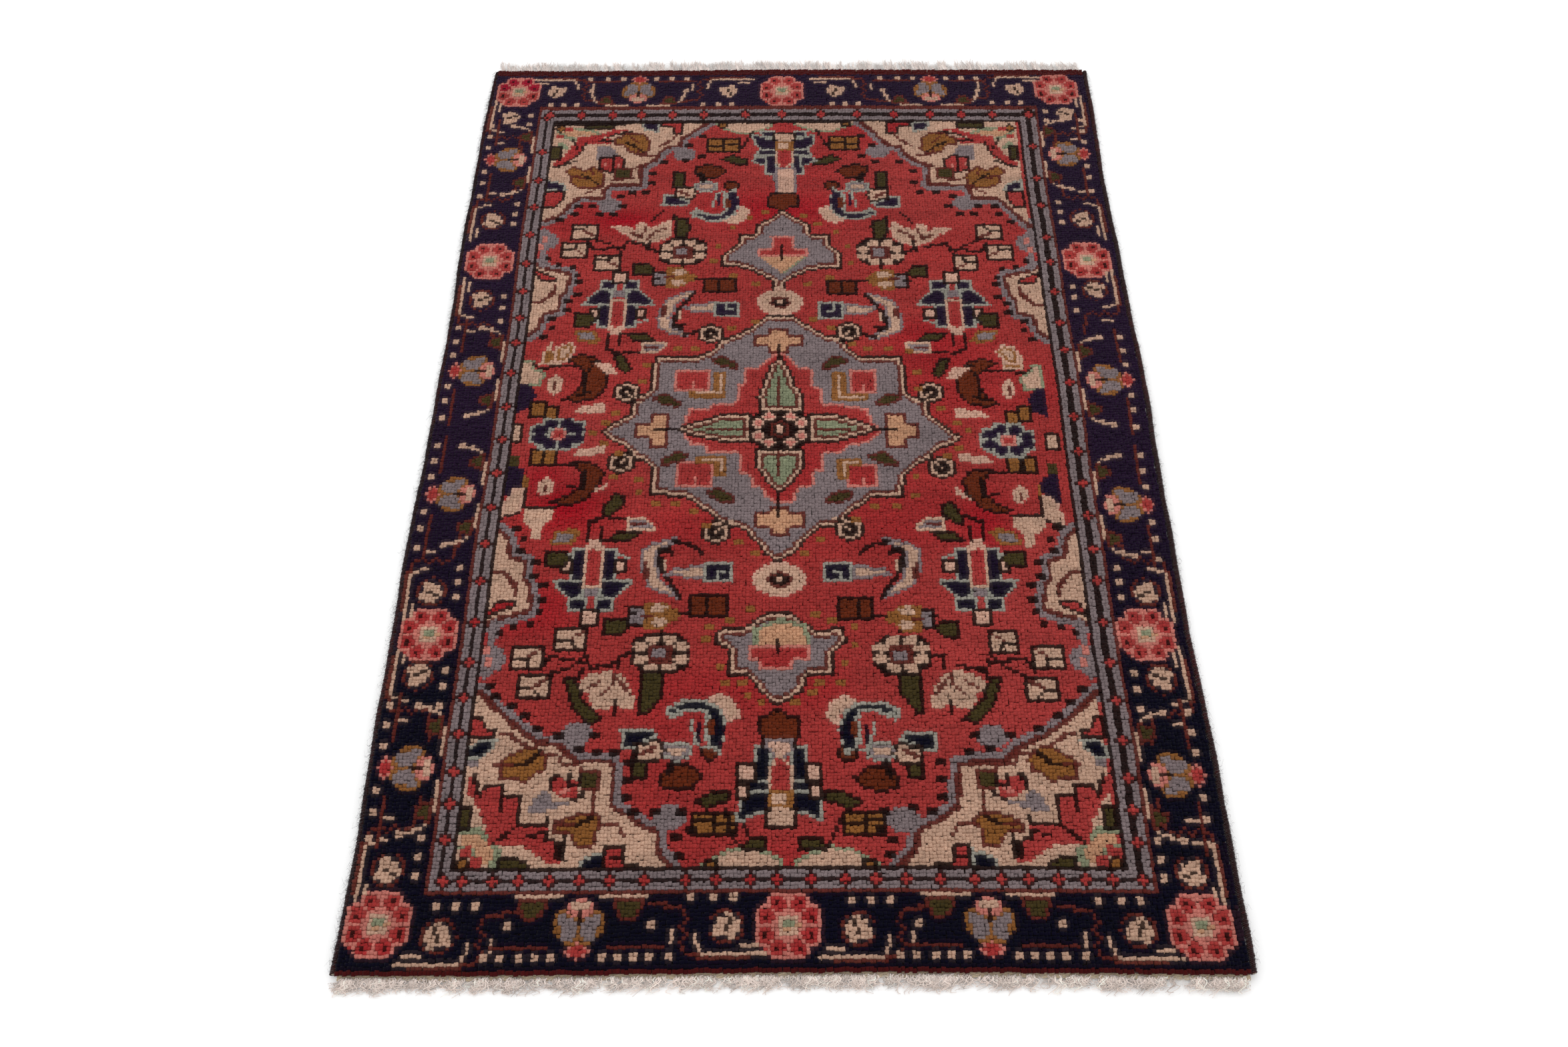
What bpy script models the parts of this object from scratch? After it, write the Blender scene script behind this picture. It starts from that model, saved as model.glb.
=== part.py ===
"""Hand-knotted area rug with a central medallion, built as its separate layers.

A cotton ground weave carries short lengths of wool that stand up as pile. The wool is
knotted in one area of the design after another, so each area is a piece of its own that
stands on the weave beside its neighbours. The sides are bound over a cord, and the warps
leave the weave at both ends as a fringe.

Metres, +Z up. The rug lies flat, its length runs along Y and its far end is at +Y. The
origin is the middle of the underside.
"""
import math

import bmesh
import bpy

# Overall sizes
PILE_WIDTH = 0.984
PILE_LENGTH = 1.500
GROUND_THICKNESS = 0.0030
PILE_HEIGHT = 0.0072

# Edges
SELVEDGE_DIAMETER = 0.0075
OVERCAST_THICKNESS = 0.0014
KILIM_LENGTH = 0.0060
FRINGE_LENGTH_FAR = 0.0380
FRINGE_LENGTH_NEAR = 0.0150
FRINGE_HEADING = 0.0020
FRINGE_THICKNESS = 0.0022
TASSEL_PITCH = 0.0160
TASSEL_WIDTH = 0.0120

# Bands of the design, from the edge inwards
END_BAND_FAR = 0.0090
END_BAND_NEAR = 0.0065
BORDER_WIDTH_SIDE = 0.0800
BORDER_WIDTH_FAR = 0.0900
BORDER_WIDTH_NEAR = 0.0790
GUARD_WIDTH = 0.0330

# Motifs of the border
ROSETTE_MARGIN = 0.0015
PALMETTE_MARGIN = 0.0060
PALMETTE_WIDTH = 0.0590
SIDE_MOTIF_PLACES = (-1.0, -0.75, -0.47, -0.17, 0.14, 0.45, 0.76, 1.0)

# Motifs of the field
OFFSET_ACROSS = -0.0120
OFFSET_ALONG = -0.0080
MEDALLION_WIDTH = 0.4920
MEDALLION_LENGTH = 0.4220
LOZENGE_WIDTH = 0.2740
LOZENGE_LENGTH = 0.2520
STAR_WIDTH = 0.2640
STAR_LENGTH = 0.2300
HEART_DIAMETER = 0.0560
PENDANT_WIDTH = 0.1780
PENDANT_LENGTH = 0.1400
PENDANT_DISTANCE = 0.0720
CORNER_WIDTH = 0.2340
CORNER_LENGTH = 0.2350
BRACKET_DEPTH = 0.0700
BRACKET_LENGTH = 0.1600
BRACKET_PLACE = 0.55

# Clearance between pieces that touch, and the distance at which points count as one
GAP = 0.0003
WELD_DISTANCE = 0.00001

PILE_BASE = GROUND_THICKNESS + GAP
PILE_TOP = PILE_BASE + PILE_HEIGHT

HALF_WIDTH = PILE_WIDTH / 2
FAR_EDGE = PILE_LENGTH / 2
NEAR_EDGE = -PILE_LENGTH / 2

BORDER_FAR = FAR_EDGE - END_BAND_FAR
BORDER_NEAR = NEAR_EDGE + END_BAND_NEAR
GUARD_SIDE = HALF_WIDTH - BORDER_WIDTH_SIDE
GUARD_FAR = BORDER_FAR - BORDER_WIDTH_FAR
GUARD_NEAR = BORDER_NEAR + BORDER_WIDTH_NEAR
FIELD_SIDE = GUARD_SIDE - GUARD_WIDTH
FIELD_FAR = GUARD_FAR - GUARD_WIDTH
FIELD_NEAR = GUARD_NEAR + GUARD_WIDTH
FIELD_MIDDLE = (FIELD_FAR + FIELD_NEAR) / 2
FIELD_HALF_LENGTH = (FIELD_FAR - FIELD_NEAR) / 2


# Materials: dyed wools and undyed cotton

WOOLS = {
    "navy_wool": (0.016, 0.014, 0.045),
    "madder_wool": (0.380, 0.050, 0.052),
    "rose_wool": (0.440, 0.080, 0.085),
    "ivory_wool": (0.560, 0.400, 0.310),
    "slate_wool": (0.145, 0.165, 0.250),
    "mint_wool": (0.250, 0.330, 0.260),
    "end_band_wool": (0.170, 0.024, 0.022),
    "overcast_wool": (0.040, 0.016, 0.014),
    "warp_cotton": (0.700, 0.650, 0.580),
}


def dyed(name):
    """The matt, unpolished material of one colour of yarn."""
    material = bpy.data.materials.get(name) or bpy.data.materials.new(name)
    material.use_nodes = True
    shader = material.node_tree.nodes["Principled BSDF"]
    shader.inputs["Base Color"].default_value = (*WOOLS[name], 1.0)
    shader.inputs["Roughness"].default_value = 0.9
    shader.inputs["Metallic"].default_value = 0.0
    return material


# Outlines: lists of (x, y) points that run counter-clockwise

def rectangle(left, right, near, far):
    return [(left, near), (right, near), (right, far), (left, far)]


def shifted(outline, x, y):
    return [(px + x, py + y) for px, py in outline]


def turned(outline, angle):
    cos, sin = math.cos(angle), math.sin(angle)
    return [(px * cos - py * sin, px * sin + py * cos) for px, py in outline]


def flipped(outline, across=False, along=False):
    """The outline mirrored in the Y axis (across) or in the X axis (along)."""
    sx = -1 if across else 1
    sy = -1 if along else 1
    points = [(px * sx, py * sy) for px, py in outline]
    return points if across == along else points[::-1]


def moved_in(outline, distance):
    """The outline with every edge moved in by a distance, or out by a negative one."""
    result = []
    for i, (x, y) in enumerate(outline):
        ax, ay = outline[i - 1]
        bx, by = outline[(i + 1) % len(outline)]
        length_in = math.hypot(x - ax, y - ay)
        length_out = math.hypot(bx - x, by - y)
        nx_in, ny_in = -(y - ay) / length_in, (x - ax) / length_in
        nx_out, ny_out = -(by - y) / length_out, (bx - x) / length_out
        reach = distance / (1 + nx_in * nx_out + ny_in * ny_out)
        result.append((x + (nx_in + nx_out) * reach, y + (ny_in + ny_out) * reach))
    return result


def four_way(quarter, half_width, half_length):
    """A closed outline from its first quarter, given in shares of the half sizes.

    The quarter runs from the tip on +X to the tip on +Y, both included.
    """
    first = [(px * half_width, py * half_length) for px, py in quarter]
    second = flipped(first, across=True)[1:]
    upper = first + second
    lower = flipped(upper, along=True)[1:-1]
    return upper + lower


# Solids

def filled_curve(name, outlines, thickness):
    """A flat curve object that fills each outline, half its thickness up and half down."""
    curve = bpy.data.curves.new(name, "CURVE")
    curve.dimensions = "2D"
    curve.fill_mode = "BOTH"
    curve.extrude = thickness / 2
    for outline in outlines:
        spline = curve.splines.new("POLY")
        spline.points.add(len(outline) - 1)
        for point, (x, y) in zip(spline.points, outline):
            point.co = (x, y, 0, 1)
        spline.use_cyclic_u = True
    return bpy.data.objects.new(name, curve)


def as_mesh(flat, collection):
    """The same piece as a closed mesh, in place of its curve, so that it can be cut."""
    collection.objects.link(flat)
    evaluated = flat.evaluated_get(bpy.context.evaluated_depsgraph_get())
    mesh = bpy.data.meshes.new_from_object(evaluated)
    welded = bmesh.new()
    welded.from_mesh(mesh)
    bmesh.ops.remove_doubles(welded, verts=welded.verts, dist=WELD_DISTANCE)
    welded.to_mesh(mesh)
    welded.free()
    name, place_matrix = flat.name, flat.matrix_world.copy()
    bpy.data.objects.remove(flat, do_unlink=True)
    piece = bpy.data.objects.new(name, mesh)
    piece.matrix_world = place_matrix
    collection.objects.link(piece)
    return piece


def stand(name, outline, openings, low, high, colour):
    """A flat piece that stands between two heights, with openings for its neighbours.

    Half the clearance comes off the piece on every side, so two pieces that share an
    outline stay clear of each other by the whole clearance.
    """
    piece = filled_curve(name, [moved_in(outline, GAP / 2)], high - low)
    piece.location = (0, 0, (low + high) / 2)
    if openings:
        piece = as_mesh(piece, rug)
        edges = [moved_in(opening, -GAP / 2) for opening in openings]
        cutter = filled_curve(f"{name}_cutter", edges, 2 * (high - low))
        cutter.location = piece.location
        cutter = as_mesh(cutter, cutters)
        cutter.display_type = "WIRE"
        cutter.hide_render = True
        cut = piece.modifiers.new("openings", "BOOLEAN")
        cut.operation = "DIFFERENCE"
        cut.solver = "EXACT"
        cut.object = cutter
    else:
        rug.objects.link(piece)
    piece.data.materials.append(dyed(colour))
    return piece


def pile(name, outline, openings, colour):
    """One area of knotted wool, from the ground weave up to the clipped tips."""
    return stand(name, outline, openings, PILE_BASE, PILE_TOP, colour)


def place(piece, colour):
    """Gives a primitive its colour and puts it in the rug's collection."""
    piece.data.materials.append(dyed(colour))
    for collection in list(piece.users_collection):
        collection.objects.unlink(piece)
    rug.objects.link(piece)


for old in list(bpy.data.objects):
    bpy.data.objects.remove(old, do_unlink=True)
rug = bpy.data.collections.new("area_rug")
cutters = bpy.data.collections.new("cutters")
bpy.context.scene.collection.children.link(rug)
bpy.context.scene.collection.children.link(cutters)


# Ground weave: the cotton warps and wefts that every knot is tied on

def build_ground():
    bpy.ops.mesh.primitive_cube_add(size=1, location=(0, 0, GROUND_THICKNESS / 2))
    ground = bpy.context.object
    ground.name = "ground_weave"
    ground.dimensions = (PILE_WIDTH, PILE_LENGTH, GROUND_THICKNESS)
    bpy.ops.object.transform_apply(location=False, rotation=False, scale=True)
    place(ground, "warp_cotton")


# Selvedges: a cord of thick warps along each side, wrapped in dark wool

def build_selvedge(side, sign):
    radius = SELVEDGE_DIAMETER / 2
    centre_x = sign * (HALF_WIDTH + GAP + radius)
    lie = {"location": (centre_x, 0, radius), "rotation": (math.pi / 2, 0, 0)}

    core_radius = radius - OVERCAST_THICKNESS - GAP
    bpy.ops.mesh.primitive_cylinder_add(vertices=12, radius=core_radius, depth=PILE_LENGTH, **lie)
    core = bpy.context.object
    core.name = f"selvedge_cord_{side}"
    place(core, "warp_cotton")

    bpy.ops.mesh.primitive_cylinder_add(vertices=16, radius=radius, depth=PILE_LENGTH,
                                        end_fill_type="NOTHING", **lie)
    wrap = bpy.context.object
    wrap.name = f"selvedge_overcast_{side}"
    shell = wrap.modifiers.new("wall", "SOLIDIFY")
    shell.thickness = OVERCAST_THICKNESS
    shell.offset = -1
    place(wrap, "overcast_wool")


# Kilim ends and fringes: the weave without knots, then the warps left loose

def build_end(side, sign, fringe_length):
    half = HALF_WIDTH
    edge = sign * (PILE_LENGTH / 2 + GAP / 2)
    heading = edge + sign * KILIM_LENGTH
    tips = heading + sign * fringe_length

    strip = rectangle(-half, half, min(edge, heading), max(edge, heading))
    stand(f"kilim_end_{side}", strip, [], 0, GROUND_THICKNESS, "warp_cotton")

    count = int((PILE_WIDTH - TASSEL_WIDTH) / TASSEL_PITCH) + 1
    first = -(count - 1) * TASSEL_PITCH / 2
    root = heading + sign * FRINGE_HEADING
    comb = [(-half, heading), (half, heading), (half, root)]
    for i in reversed(range(count)):
        middle = first + i * TASSEL_PITCH
        right, left = middle + TASSEL_WIDTH / 2, middle - TASSEL_WIDTH / 2
        comb += [(right, root), (right, tips), (left, tips), (left, root)]
    comb += [(-half, root)]
    comb = comb if sign > 0 else comb[::-1]
    stand(f"fringe_{side}", comb, [], 0, FRINGE_THICKNESS, "warp_cotton")


# Border: dark blue pile around all four sides, with rosettes and palmettes let into it

def rosette_outline(diameter):
    """Eight blunt petals with a notch between each pair."""
    outline = []
    for petal in range(8):
        for degrees, share in ((-16, 0.96), (0, 1.0), (16, 0.96), (22.5, 0.86)):
            angle = math.radians(22.5 + petal * 45 + degrees)
            outline.append((math.cos(angle) * share * diameter / 2,
                            math.sin(angle) * share * diameter / 2))
    return outline


def palmette_outline(width, length):
    """A flower head on a crown of lobes: the flower is at +Y and the cap at -Y."""
    right = [(0.00, -1.00), (0.28, -0.92), (0.62, -0.62), (0.72, -0.36), (1.00, -0.22),
             (0.86, 0.06), (0.74, 0.36), (0.34, 0.60), (0.46, 0.78), (0.30, 0.98), (0.00, 1.04)]
    half = [(px * width / 2, py * length / 2) for px, py in right]
    return half + flipped(half, across=True)[1:-1]


def build_border():
    narrowest = min(BORDER_WIDTH_SIDE, BORDER_WIDTH_FAR, BORDER_WIDTH_NEAR)
    rosette = rosette_outline(narrowest - 2 * ROSETTE_MARGIN)
    palmette = palmette_outline(PALMETTE_WIDTH, narrowest - 2 * PALMETTE_MARGIN)
    centre_x = HALF_WIDTH - BORDER_WIDTH_SIDE / 2
    centre_far = BORDER_FAR - BORDER_WIDTH_FAR / 2
    centre_near = BORDER_NEAR + BORDER_WIDTH_NEAR / 2
    middle, reach = (centre_far + centre_near) / 2, (centre_far - centre_near) / 2

    for side, sign in (("left", -1), ("right", 1)):
        holes = []
        for i, share in enumerate(SIDE_MOTIF_PLACES):
            x, y = sign * centre_x, middle + share * reach
            if i in (0, 2, 5, 7):
                motif, kind, colour = shifted(rosette, x, y), "rosette", "rose_wool"
            else:
                outwards = turned(palmette, -sign * math.pi / 2)
                motif, kind, colour = shifted(outwards, x, y), "palmette", "slate_wool"
            pile(f"{kind}_{side}_{i + 1}", motif, [], colour)
            holes.append(motif)
        inner, outer = sorted((sign * GUARD_SIDE, sign * HALF_WIDTH))
        pile(f"border_{side}", rectangle(inner, outer, BORDER_NEAR, BORDER_FAR), holes, "navy_wool")

    ends = (("near", -1, centre_near, BORDER_NEAR, GUARD_NEAR), ("far", 1, centre_far, GUARD_FAR, BORDER_FAR))
    for end, sign, y, low_edge, high_edge in ends:
        holes = [shifted(rosette, OFFSET_ACROSS, y)]
        pile(f"rosette_{end}_middle", holes[0], [], "rose_wool")
        for side, x in (("left", -centre_x), ("right", centre_x)):
            motif = palmette if sign > 0 else turned(palmette, math.pi)
            motif = shifted(motif, (x + OFFSET_ACROSS) / 2, y)
            pile(f"palmette_{end}_{side}", motif, [], "slate_wool")
            holes.append(motif)
        strip = rectangle(-GUARD_SIDE, GUARD_SIDE, low_edge, high_edge)
        pile(f"border_{end}", strip, holes, "navy_wool")

    pile("end_band_far", rectangle(-HALF_WIDTH, HALF_WIDTH, BORDER_FAR, FAR_EDGE), [], "end_band_wool")
    pile("end_band_near", rectangle(-HALF_WIDTH, HALF_WIDTH, NEAR_EDGE, BORDER_NEAR), [], "end_band_wool")


# Guard: a narrow striped band between the border and the field, mitred at its corners

def build_guard():
    outer = rectangle(-GUARD_SIDE, GUARD_SIDE, GUARD_NEAR, GUARD_FAR)
    inner = rectangle(-FIELD_SIDE, FIELD_SIDE, FIELD_NEAR, FIELD_FAR)
    for i, side in enumerate(("near", "right", "far", "left")):
        j = (i + 1) % 4
        pile(f"guard_{side}", [outer[i], outer[j], inner[j], inner[i]], [], "slate_wool")


# Field: red pile around the medallion and its pendants, with pale corners and side brackets

def corner_edge():
    """The scalloped edge of the far right corner, from the side of the field to its end."""
    steps = [(0.00, -1.00), (0.11, -0.93), (0.20, -0.80), (0.39, -0.78), (0.41, -0.65),
             (0.63, -0.63), (0.65, -0.42), (0.75, -0.27), (0.86, -0.21), (0.91, -0.12),
             (1.00, 0.00)]
    return [(FIELD_SIDE - px * CORNER_WIDTH, FIELD_HALF_LENGTH + py * CORNER_LENGTH)
            for px, py in steps]


def bracket_edge():
    """The pointed edge of the right side bracket in the far half, from near to far."""
    middle = (FIELD_HALF_LENGTH - CORNER_LENGTH) * BRACKET_PLACE
    steps = [(0.00, -1.00), (0.41, -0.46), (0.47, -0.19), (0.82, -0.03), (0.97, 0.20),
             (1.00, 0.50), (0.70, 0.65), (0.45, 0.84), (0.00, 1.00)]
    return [(FIELD_SIDE - px * BRACKET_DEPTH, middle + py * BRACKET_LENGTH / 2) for px, py in steps]


def build_field():
    corner = corner_edge()
    bracket = bracket_edge()
    corner_piece = corner + [(FIELD_SIDE, FIELD_HALF_LENGTH)]
    corner_piece = corner_piece[::-1]
    bracket_piece = bracket[::-1]

    quarters = (("far_right", False, False), ("far_left", True, False),
                ("near_left", True, True), ("near_right", False, True))
    for place_name, across, along in quarters:
        for kind, edge in (("corner", corner_piece), ("side_bracket", bracket_piece)):
            motif = shifted(flipped(edge, across, along), 0, FIELD_MIDDLE)
            pile(f"{kind}_{place_name}", motif, [], "ivory_wool")

    right_side = bracket + corner
    far_half = right_side + flipped(right_side, across=True)
    edge = shifted(far_half + flipped(far_half, along=True), 0, FIELD_MIDDLE)

    at = (OFFSET_ACROSS, FIELD_MIDDLE + OFFSET_ALONG)
    medallion = four_way([(1.00, 0.00), (0.86, 0.13), (0.845, 0.28), (0.71, 0.30), (0.70, 0.64),
                          (0.47, 0.66), (0.35, 0.81), (0.23, 0.82), (0.06, 0.97), (0.00, 1.00)],
                         MEDALLION_WIDTH / 2, MEDALLION_LENGTH / 2)
    lozenge = four_way([(1.00, 0.00), (0.88, 0.16), (0.66, 0.24), (0.64, 0.36), (0.42, 0.40),
                        (0.40, 0.62), (0.34, 0.78), (0.14, 0.88), (0.00, 1.00)],
                       LOZENGE_WIDTH / 2, LOZENGE_LENGTH / 2)
    star = four_way([(0.97, 0.00), (0.66, 0.12), (0.24, 0.22), (0.20, 0.56), (0.10, 0.80), (0.00, 0.94)],
                    STAR_WIDTH / 2, STAR_LENGTH / 2)
    heart = [(math.cos(math.radians(degrees)) * HEART_DIAMETER / 2,
              math.sin(math.radians(degrees)) * HEART_DIAMETER / 2)
             for degrees in range(0, 360, 30)]
    pendant = four_way([(0.86, 0.00), (1.00, 0.10), (0.84, 0.34), (0.60, 0.40), (0.44, 0.72),
                        (0.16, 0.84), (0.00, 1.00)],
                       PENDANT_WIDTH / 2, PENDANT_LENGTH / 2)
    medallion, lozenge, star, heart = (shifted(o, *at) for o in (medallion, lozenge, star, heart))

    holes = [medallion]
    for end, sign in (("far", 1), ("near", -1)):
        away = MEDALLION_LENGTH / 2 + PENDANT_DISTANCE + PENDANT_LENGTH / 2
        motif = shifted(pendant, at[0], at[1] + sign * away)
        pile(f"pendant_{end}", motif, [], "slate_wool")
        holes.append(motif)

    pile("field_pile", edge, holes, "madder_wool")
    pile("medallion_pile", medallion, [lozenge], "slate_wool")
    pile("medallion_lozenge", lozenge, [star], "rose_wool")
    pile("medallion_star", star, [heart], "ivory_wool")
    pile("medallion_heart", heart, [], "mint_wool")


build_ground()
for side, sign in (("left", -1), ("right", 1)):
    build_selvedge(side, sign)
build_end("near", -1, FRINGE_LENGTH_NEAR)
build_end("far", 1, FRINGE_LENGTH_FAR)
build_border()
build_guard()
build_field()
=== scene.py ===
import math
import bmesh
import bpy
import numpy as np
from mathutils import Matrix, Vector


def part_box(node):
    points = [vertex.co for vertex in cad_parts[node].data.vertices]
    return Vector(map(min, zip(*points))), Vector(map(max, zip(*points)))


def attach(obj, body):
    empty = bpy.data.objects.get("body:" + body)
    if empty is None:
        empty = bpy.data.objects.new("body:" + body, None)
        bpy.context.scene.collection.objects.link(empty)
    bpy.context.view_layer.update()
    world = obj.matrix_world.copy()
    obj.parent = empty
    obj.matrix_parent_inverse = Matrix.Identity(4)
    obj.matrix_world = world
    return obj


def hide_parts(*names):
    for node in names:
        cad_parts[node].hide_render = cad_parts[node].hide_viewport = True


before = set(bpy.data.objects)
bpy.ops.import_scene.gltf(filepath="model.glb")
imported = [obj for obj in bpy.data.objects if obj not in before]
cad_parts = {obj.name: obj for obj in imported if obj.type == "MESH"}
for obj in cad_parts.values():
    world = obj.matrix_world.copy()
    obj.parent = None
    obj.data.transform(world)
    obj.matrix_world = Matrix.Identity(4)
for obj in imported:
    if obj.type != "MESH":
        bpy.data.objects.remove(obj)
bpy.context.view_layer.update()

# ---------------------------------------------------------------------------------------------
# Camera: stands before the near fringe at a standing person's height, and looks down on the rug
# along its length.
camera_data = bpy.data.cameras.new("standing_view")
camera_data.lens = 31.25
camera_data.sensor_width = 36.0
camera = bpy.data.objects.new("standing_view", camera_data)
camera.location = (-0.010, -1.162, 1.496)
camera.rotation_euler = (math.radians(33.7), 0.0, 0.0)
bpy.context.scene.collection.objects.link(camera)
bpy.context.scene.camera = camera
bpy.context.scene.view_settings.view_transform = "Standard"

# ---------------------------------------------------------------------------------------------
# Studio: a wide white floor, an even white room and one very large soft lamp high over the
# far end, so that the pile shows its lie and the rug hardly casts a shadow.
bpy.ops.mesh.primitive_plane_add(size=30.0, location=(0, 0, -0.0002))
floor = bpy.context.object
floor.name = "studio_floor"
floor_white = bpy.data.materials.new("studio_white")
floor_white.use_nodes = True
floor_shader = floor_white.node_tree.nodes["Principled BSDF"]
floor_shader.inputs["Base Color"].default_value = (0.975, 0.975, 0.975, 1)
floor_shader.inputs["Roughness"].default_value = 1.0
floor_shader.inputs["Specular IOR Level"].default_value = 0.0
floor.data.materials.append(floor_white)

room = bpy.data.worlds.new("white_room")
room.use_nodes = True
room.node_tree.nodes["Background"].inputs["Color"].default_value = (1, 1, 1, 1)
room.node_tree.nodes["Background"].inputs["Strength"].default_value = 1.0
bpy.context.scene.world = room
lamp_data = bpy.data.lights.new("soft_lamp", "AREA")
lamp_data.shape = "RECTANGLE"
lamp_data.size = 3.4
lamp_data.size_y = 2.6
lamp_data.energy = 22.0
lamp = bpy.data.objects.new("soft_lamp", lamp_data)
lamp.location = (-0.5, 1.4, 2.9)
lamp.rotation_euler = (Vector((0, 0, 0)) - lamp.location).to_track_quat("-Z", "Y").to_euler()
bpy.context.scene.collection.objects.link(lamp)

# ---------------------------------------------------------------------------------------------
# Border pile: the hand-knotted wool border round the field, navy with leaves, dots and vines.
# Symmetric knots on a cotton warp, clipped to one height; knotted from a squared cartoon, one
# letter of dye to each knot, which this section starts and the sections after it carry on.
# A place is counted in knots from the middle of the rug, to the right and to the far end.
KNOTS_ACROSS = 231
KNOTS_ALONG = 345
MIDDLE_COLUMN = KNOTS_ACROSS // 2
MIDDLE_ROW = KNOTS_ALONG // 2
BORDER_LEFT_EDGE = -97.5
BORDER_RIGHT_EDGE = 95.5
BORDER_FAR_EDGE = 151.5
BORDER_NEAR_EDGE = -152.4
FAR_END = 140
NEAR_END = -150
THIN_LINE = 1.3
HERE = (0, 0, 1, 1)
column, row = np.meshgrid(np.arange(KNOTS_ACROSS) - float(MIDDLE_COLUMN),
                          np.arange(KNOTS_ALONG) - float(MIDDLE_ROW))
cartoon = np.full(column.shape, "n")
piece_of = np.full(column.shape, "border_left", dtype="U32")
piece_of[column > 0] = "border_right"
between_sides = (column > BORDER_LEFT_EDGE) & (column < BORDER_RIGHT_EDGE)
piece_of[(row > BORDER_FAR_EDGE) & between_sides] = "border_far"
piece_of[(row < BORDER_NEAR_EDGE) & between_sides] = "border_near"


def placed(points, at):
    """Corners of a drawing after it is shifted, turned over or laid on its side."""
    points = np.atleast_2d(np.asarray(points, float))
    if len(at) > 4:
        points = points[:, ::-1]
    return points * (at[2], at[3]) + (at[0], at[1])


def knots_inside(corners):
    """The knots whose middle lies inside a closed outline."""
    corners = np.asarray(corners, float)
    found = np.zeros(column.shape, bool)
    low = np.maximum(np.floor(corners.min(axis=0)).astype(int) + (MIDDLE_COLUMN, MIDDLE_ROW), 0)
    high = np.maximum(np.ceil(corners.max(axis=0)).astype(int) + (MIDDLE_COLUMN + 1, MIDDLE_ROW + 1), 0)
    window = (slice(low[1], high[1]), slice(low[0], high[0]))
    across, along = column[window], row[window]
    inner = np.zeros(across.shape, bool)
    for (start_x, start_y), (end_x, end_y) in zip(corners, np.roll(corners, -1, axis=0)):
        if start_y != end_y:
            slope = (end_x - start_x) / (end_y - start_y)
            inner ^= ((start_y > along) != (end_y > along)) & (across < start_x + (along - start_y) * slope)
    found[window] = inner
    return found


def let_in(name, outline, only=None):
    """Gives the knots inside an outline to a piece of their own, all of them or those of one piece only."""
    chosen = knots_inside(outline)
    piece_of[chosen if only is None else chosen & (piece_of == only)] = name


def knot(dyes, chosen):
    """Knots an area: one letter to each ring of knots from its edge inward, the last one fills the rest."""
    for dye in dyes:
        cartoon[chosen] = dye
        chosen = (chosen & np.roll(chosen, 1, 0) & np.roll(chosen, -1, 0)
                  & np.roll(chosen, 1, 1) & np.roll(chosen, -1, 1))


def fill(dyes, points, at=HERE):
    """Knots a closed outline."""
    knot(dyes, knots_inside(placed(points, at)))


def box(dyes, left, near, right, far, at=HERE):
    fill(dyes, ((left, near), (right, near), (right, far), (left, far)), at)


def oval(dyes, across, along, half_across, half_along, at=HERE):
    """Knots an ellipse by its middle and its half widths."""
    (middle_x, middle_y), = placed((across, along), at)
    if len(at) > 4:
        half_across, half_along = half_along, half_across
    knot(dyes, ((column - middle_x) / half_across) ** 2 + ((row - middle_y) / half_along) ** 2 <= 1)


def line(dye, points, wide=1.0, at=HERE):
    """Knots a line from point to point; the corners of a thin one are whole knots."""
    corners = placed(points, at)
    if wide < THIN_LINE:
        corners = np.round(corners)
    for start, end in zip(corners[:-1], corners[1:]):
        reach = end - start
        along = ((column - start[0]) * reach[0] + (row - start[1]) * reach[1]) / max(reach @ reach, 1e-9)
        along = np.clip(along, 0, 1)
        away = np.hypot(column - start[0] - along * reach[0], row - start[1] - along * reach[1])
        cartoon[away <= wide / 2 + 0.01] = dye


def lines(dye, *strokes, wide=1.0, at=HERE):
    """Knots several lines of one dye."""
    for stroke in strokes:
        line(dye, stroke, wide, at)


def dots(dye, places, wide=2, tall=2, at=HERE):
    """Knots a small block at each place."""
    for across, along in placed(places, at):
        box(dye, across - wide / 2, along - tall / 2, across + wide / 2, along + tall / 2)


def leaf(at):
    """Two cream blades round a slanted black slit; all but those of the far end have a brown ring."""
    if at[1] < FAR_END:
        oval("b", 0.2, 0, 4.8, 4.4, at)
        oval("n", 0.2, 0, 4.2, 3.8, at)
    fill("c", ((-3.2, -1.8), (-0.6, -3.6), (2.4, -2.4), (3.6, 0.6), (2.6, 3.4), (0.6, 1.8), (-1.4, 3.8),
               (-3.4, 1.4)), at)
    lines("k", ((-1, -1.6), (0, 1.2)), at=at)


def leaf_vine(at):
    """Round a leaf: a cream stem on its outer side, a brown vine that winds across the border, dots."""
    lines("c", ((-10, 7), (6, 7), (8, 4), (8, 1.6)), ((-8, 5), (-4, 5)), wide=0.8, at=at)
    lines("b", ((-6, 7.8), (4, 8), (10, 7.4), (12, 4.4), (10.4, 2.2), (12.4, 0), (10.4, -2.2), (12, -5),
                (20, -6)), at=at)
    lines("c", ((14, 1.4), (14, 4)), at=at)
    dots("c", ((-1.5, -7.6), (3.5, -7.6), (9, -7.6)), 2, 2, at)


LEAVES = ((-91, 160, 1, 1), (-24, 160, -1, 1), (18, 160, 1, 1), (88, 161, -1, 1), (-91, -163, 1, -1),
          (-17, -161, -1, -1), (17, -162, 1, -1), (89, -162, -1, -1), (-107, 145, -1, -1, "side"),
          (-107, 90, -1, 1, "side"), (-107, 52, -1, -1, "side"), (-107, -63, -1, 1, "side"),
          (-107, -90, -1, -1, "side"), (-107, -146, -1, 1, "side"), (106, 147, 1, -1, "side"),
          (106, 91, 1, 1, "side"), (106, 57, 1, -1, "side"), (106, -63, 1, 1, "side"),
          (106, -91, 1, -1, "side"), (105, -147, 1, 1, "side"))
for at in LEAVES:
    leaf_vine(at)
    leaf(at)


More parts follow.
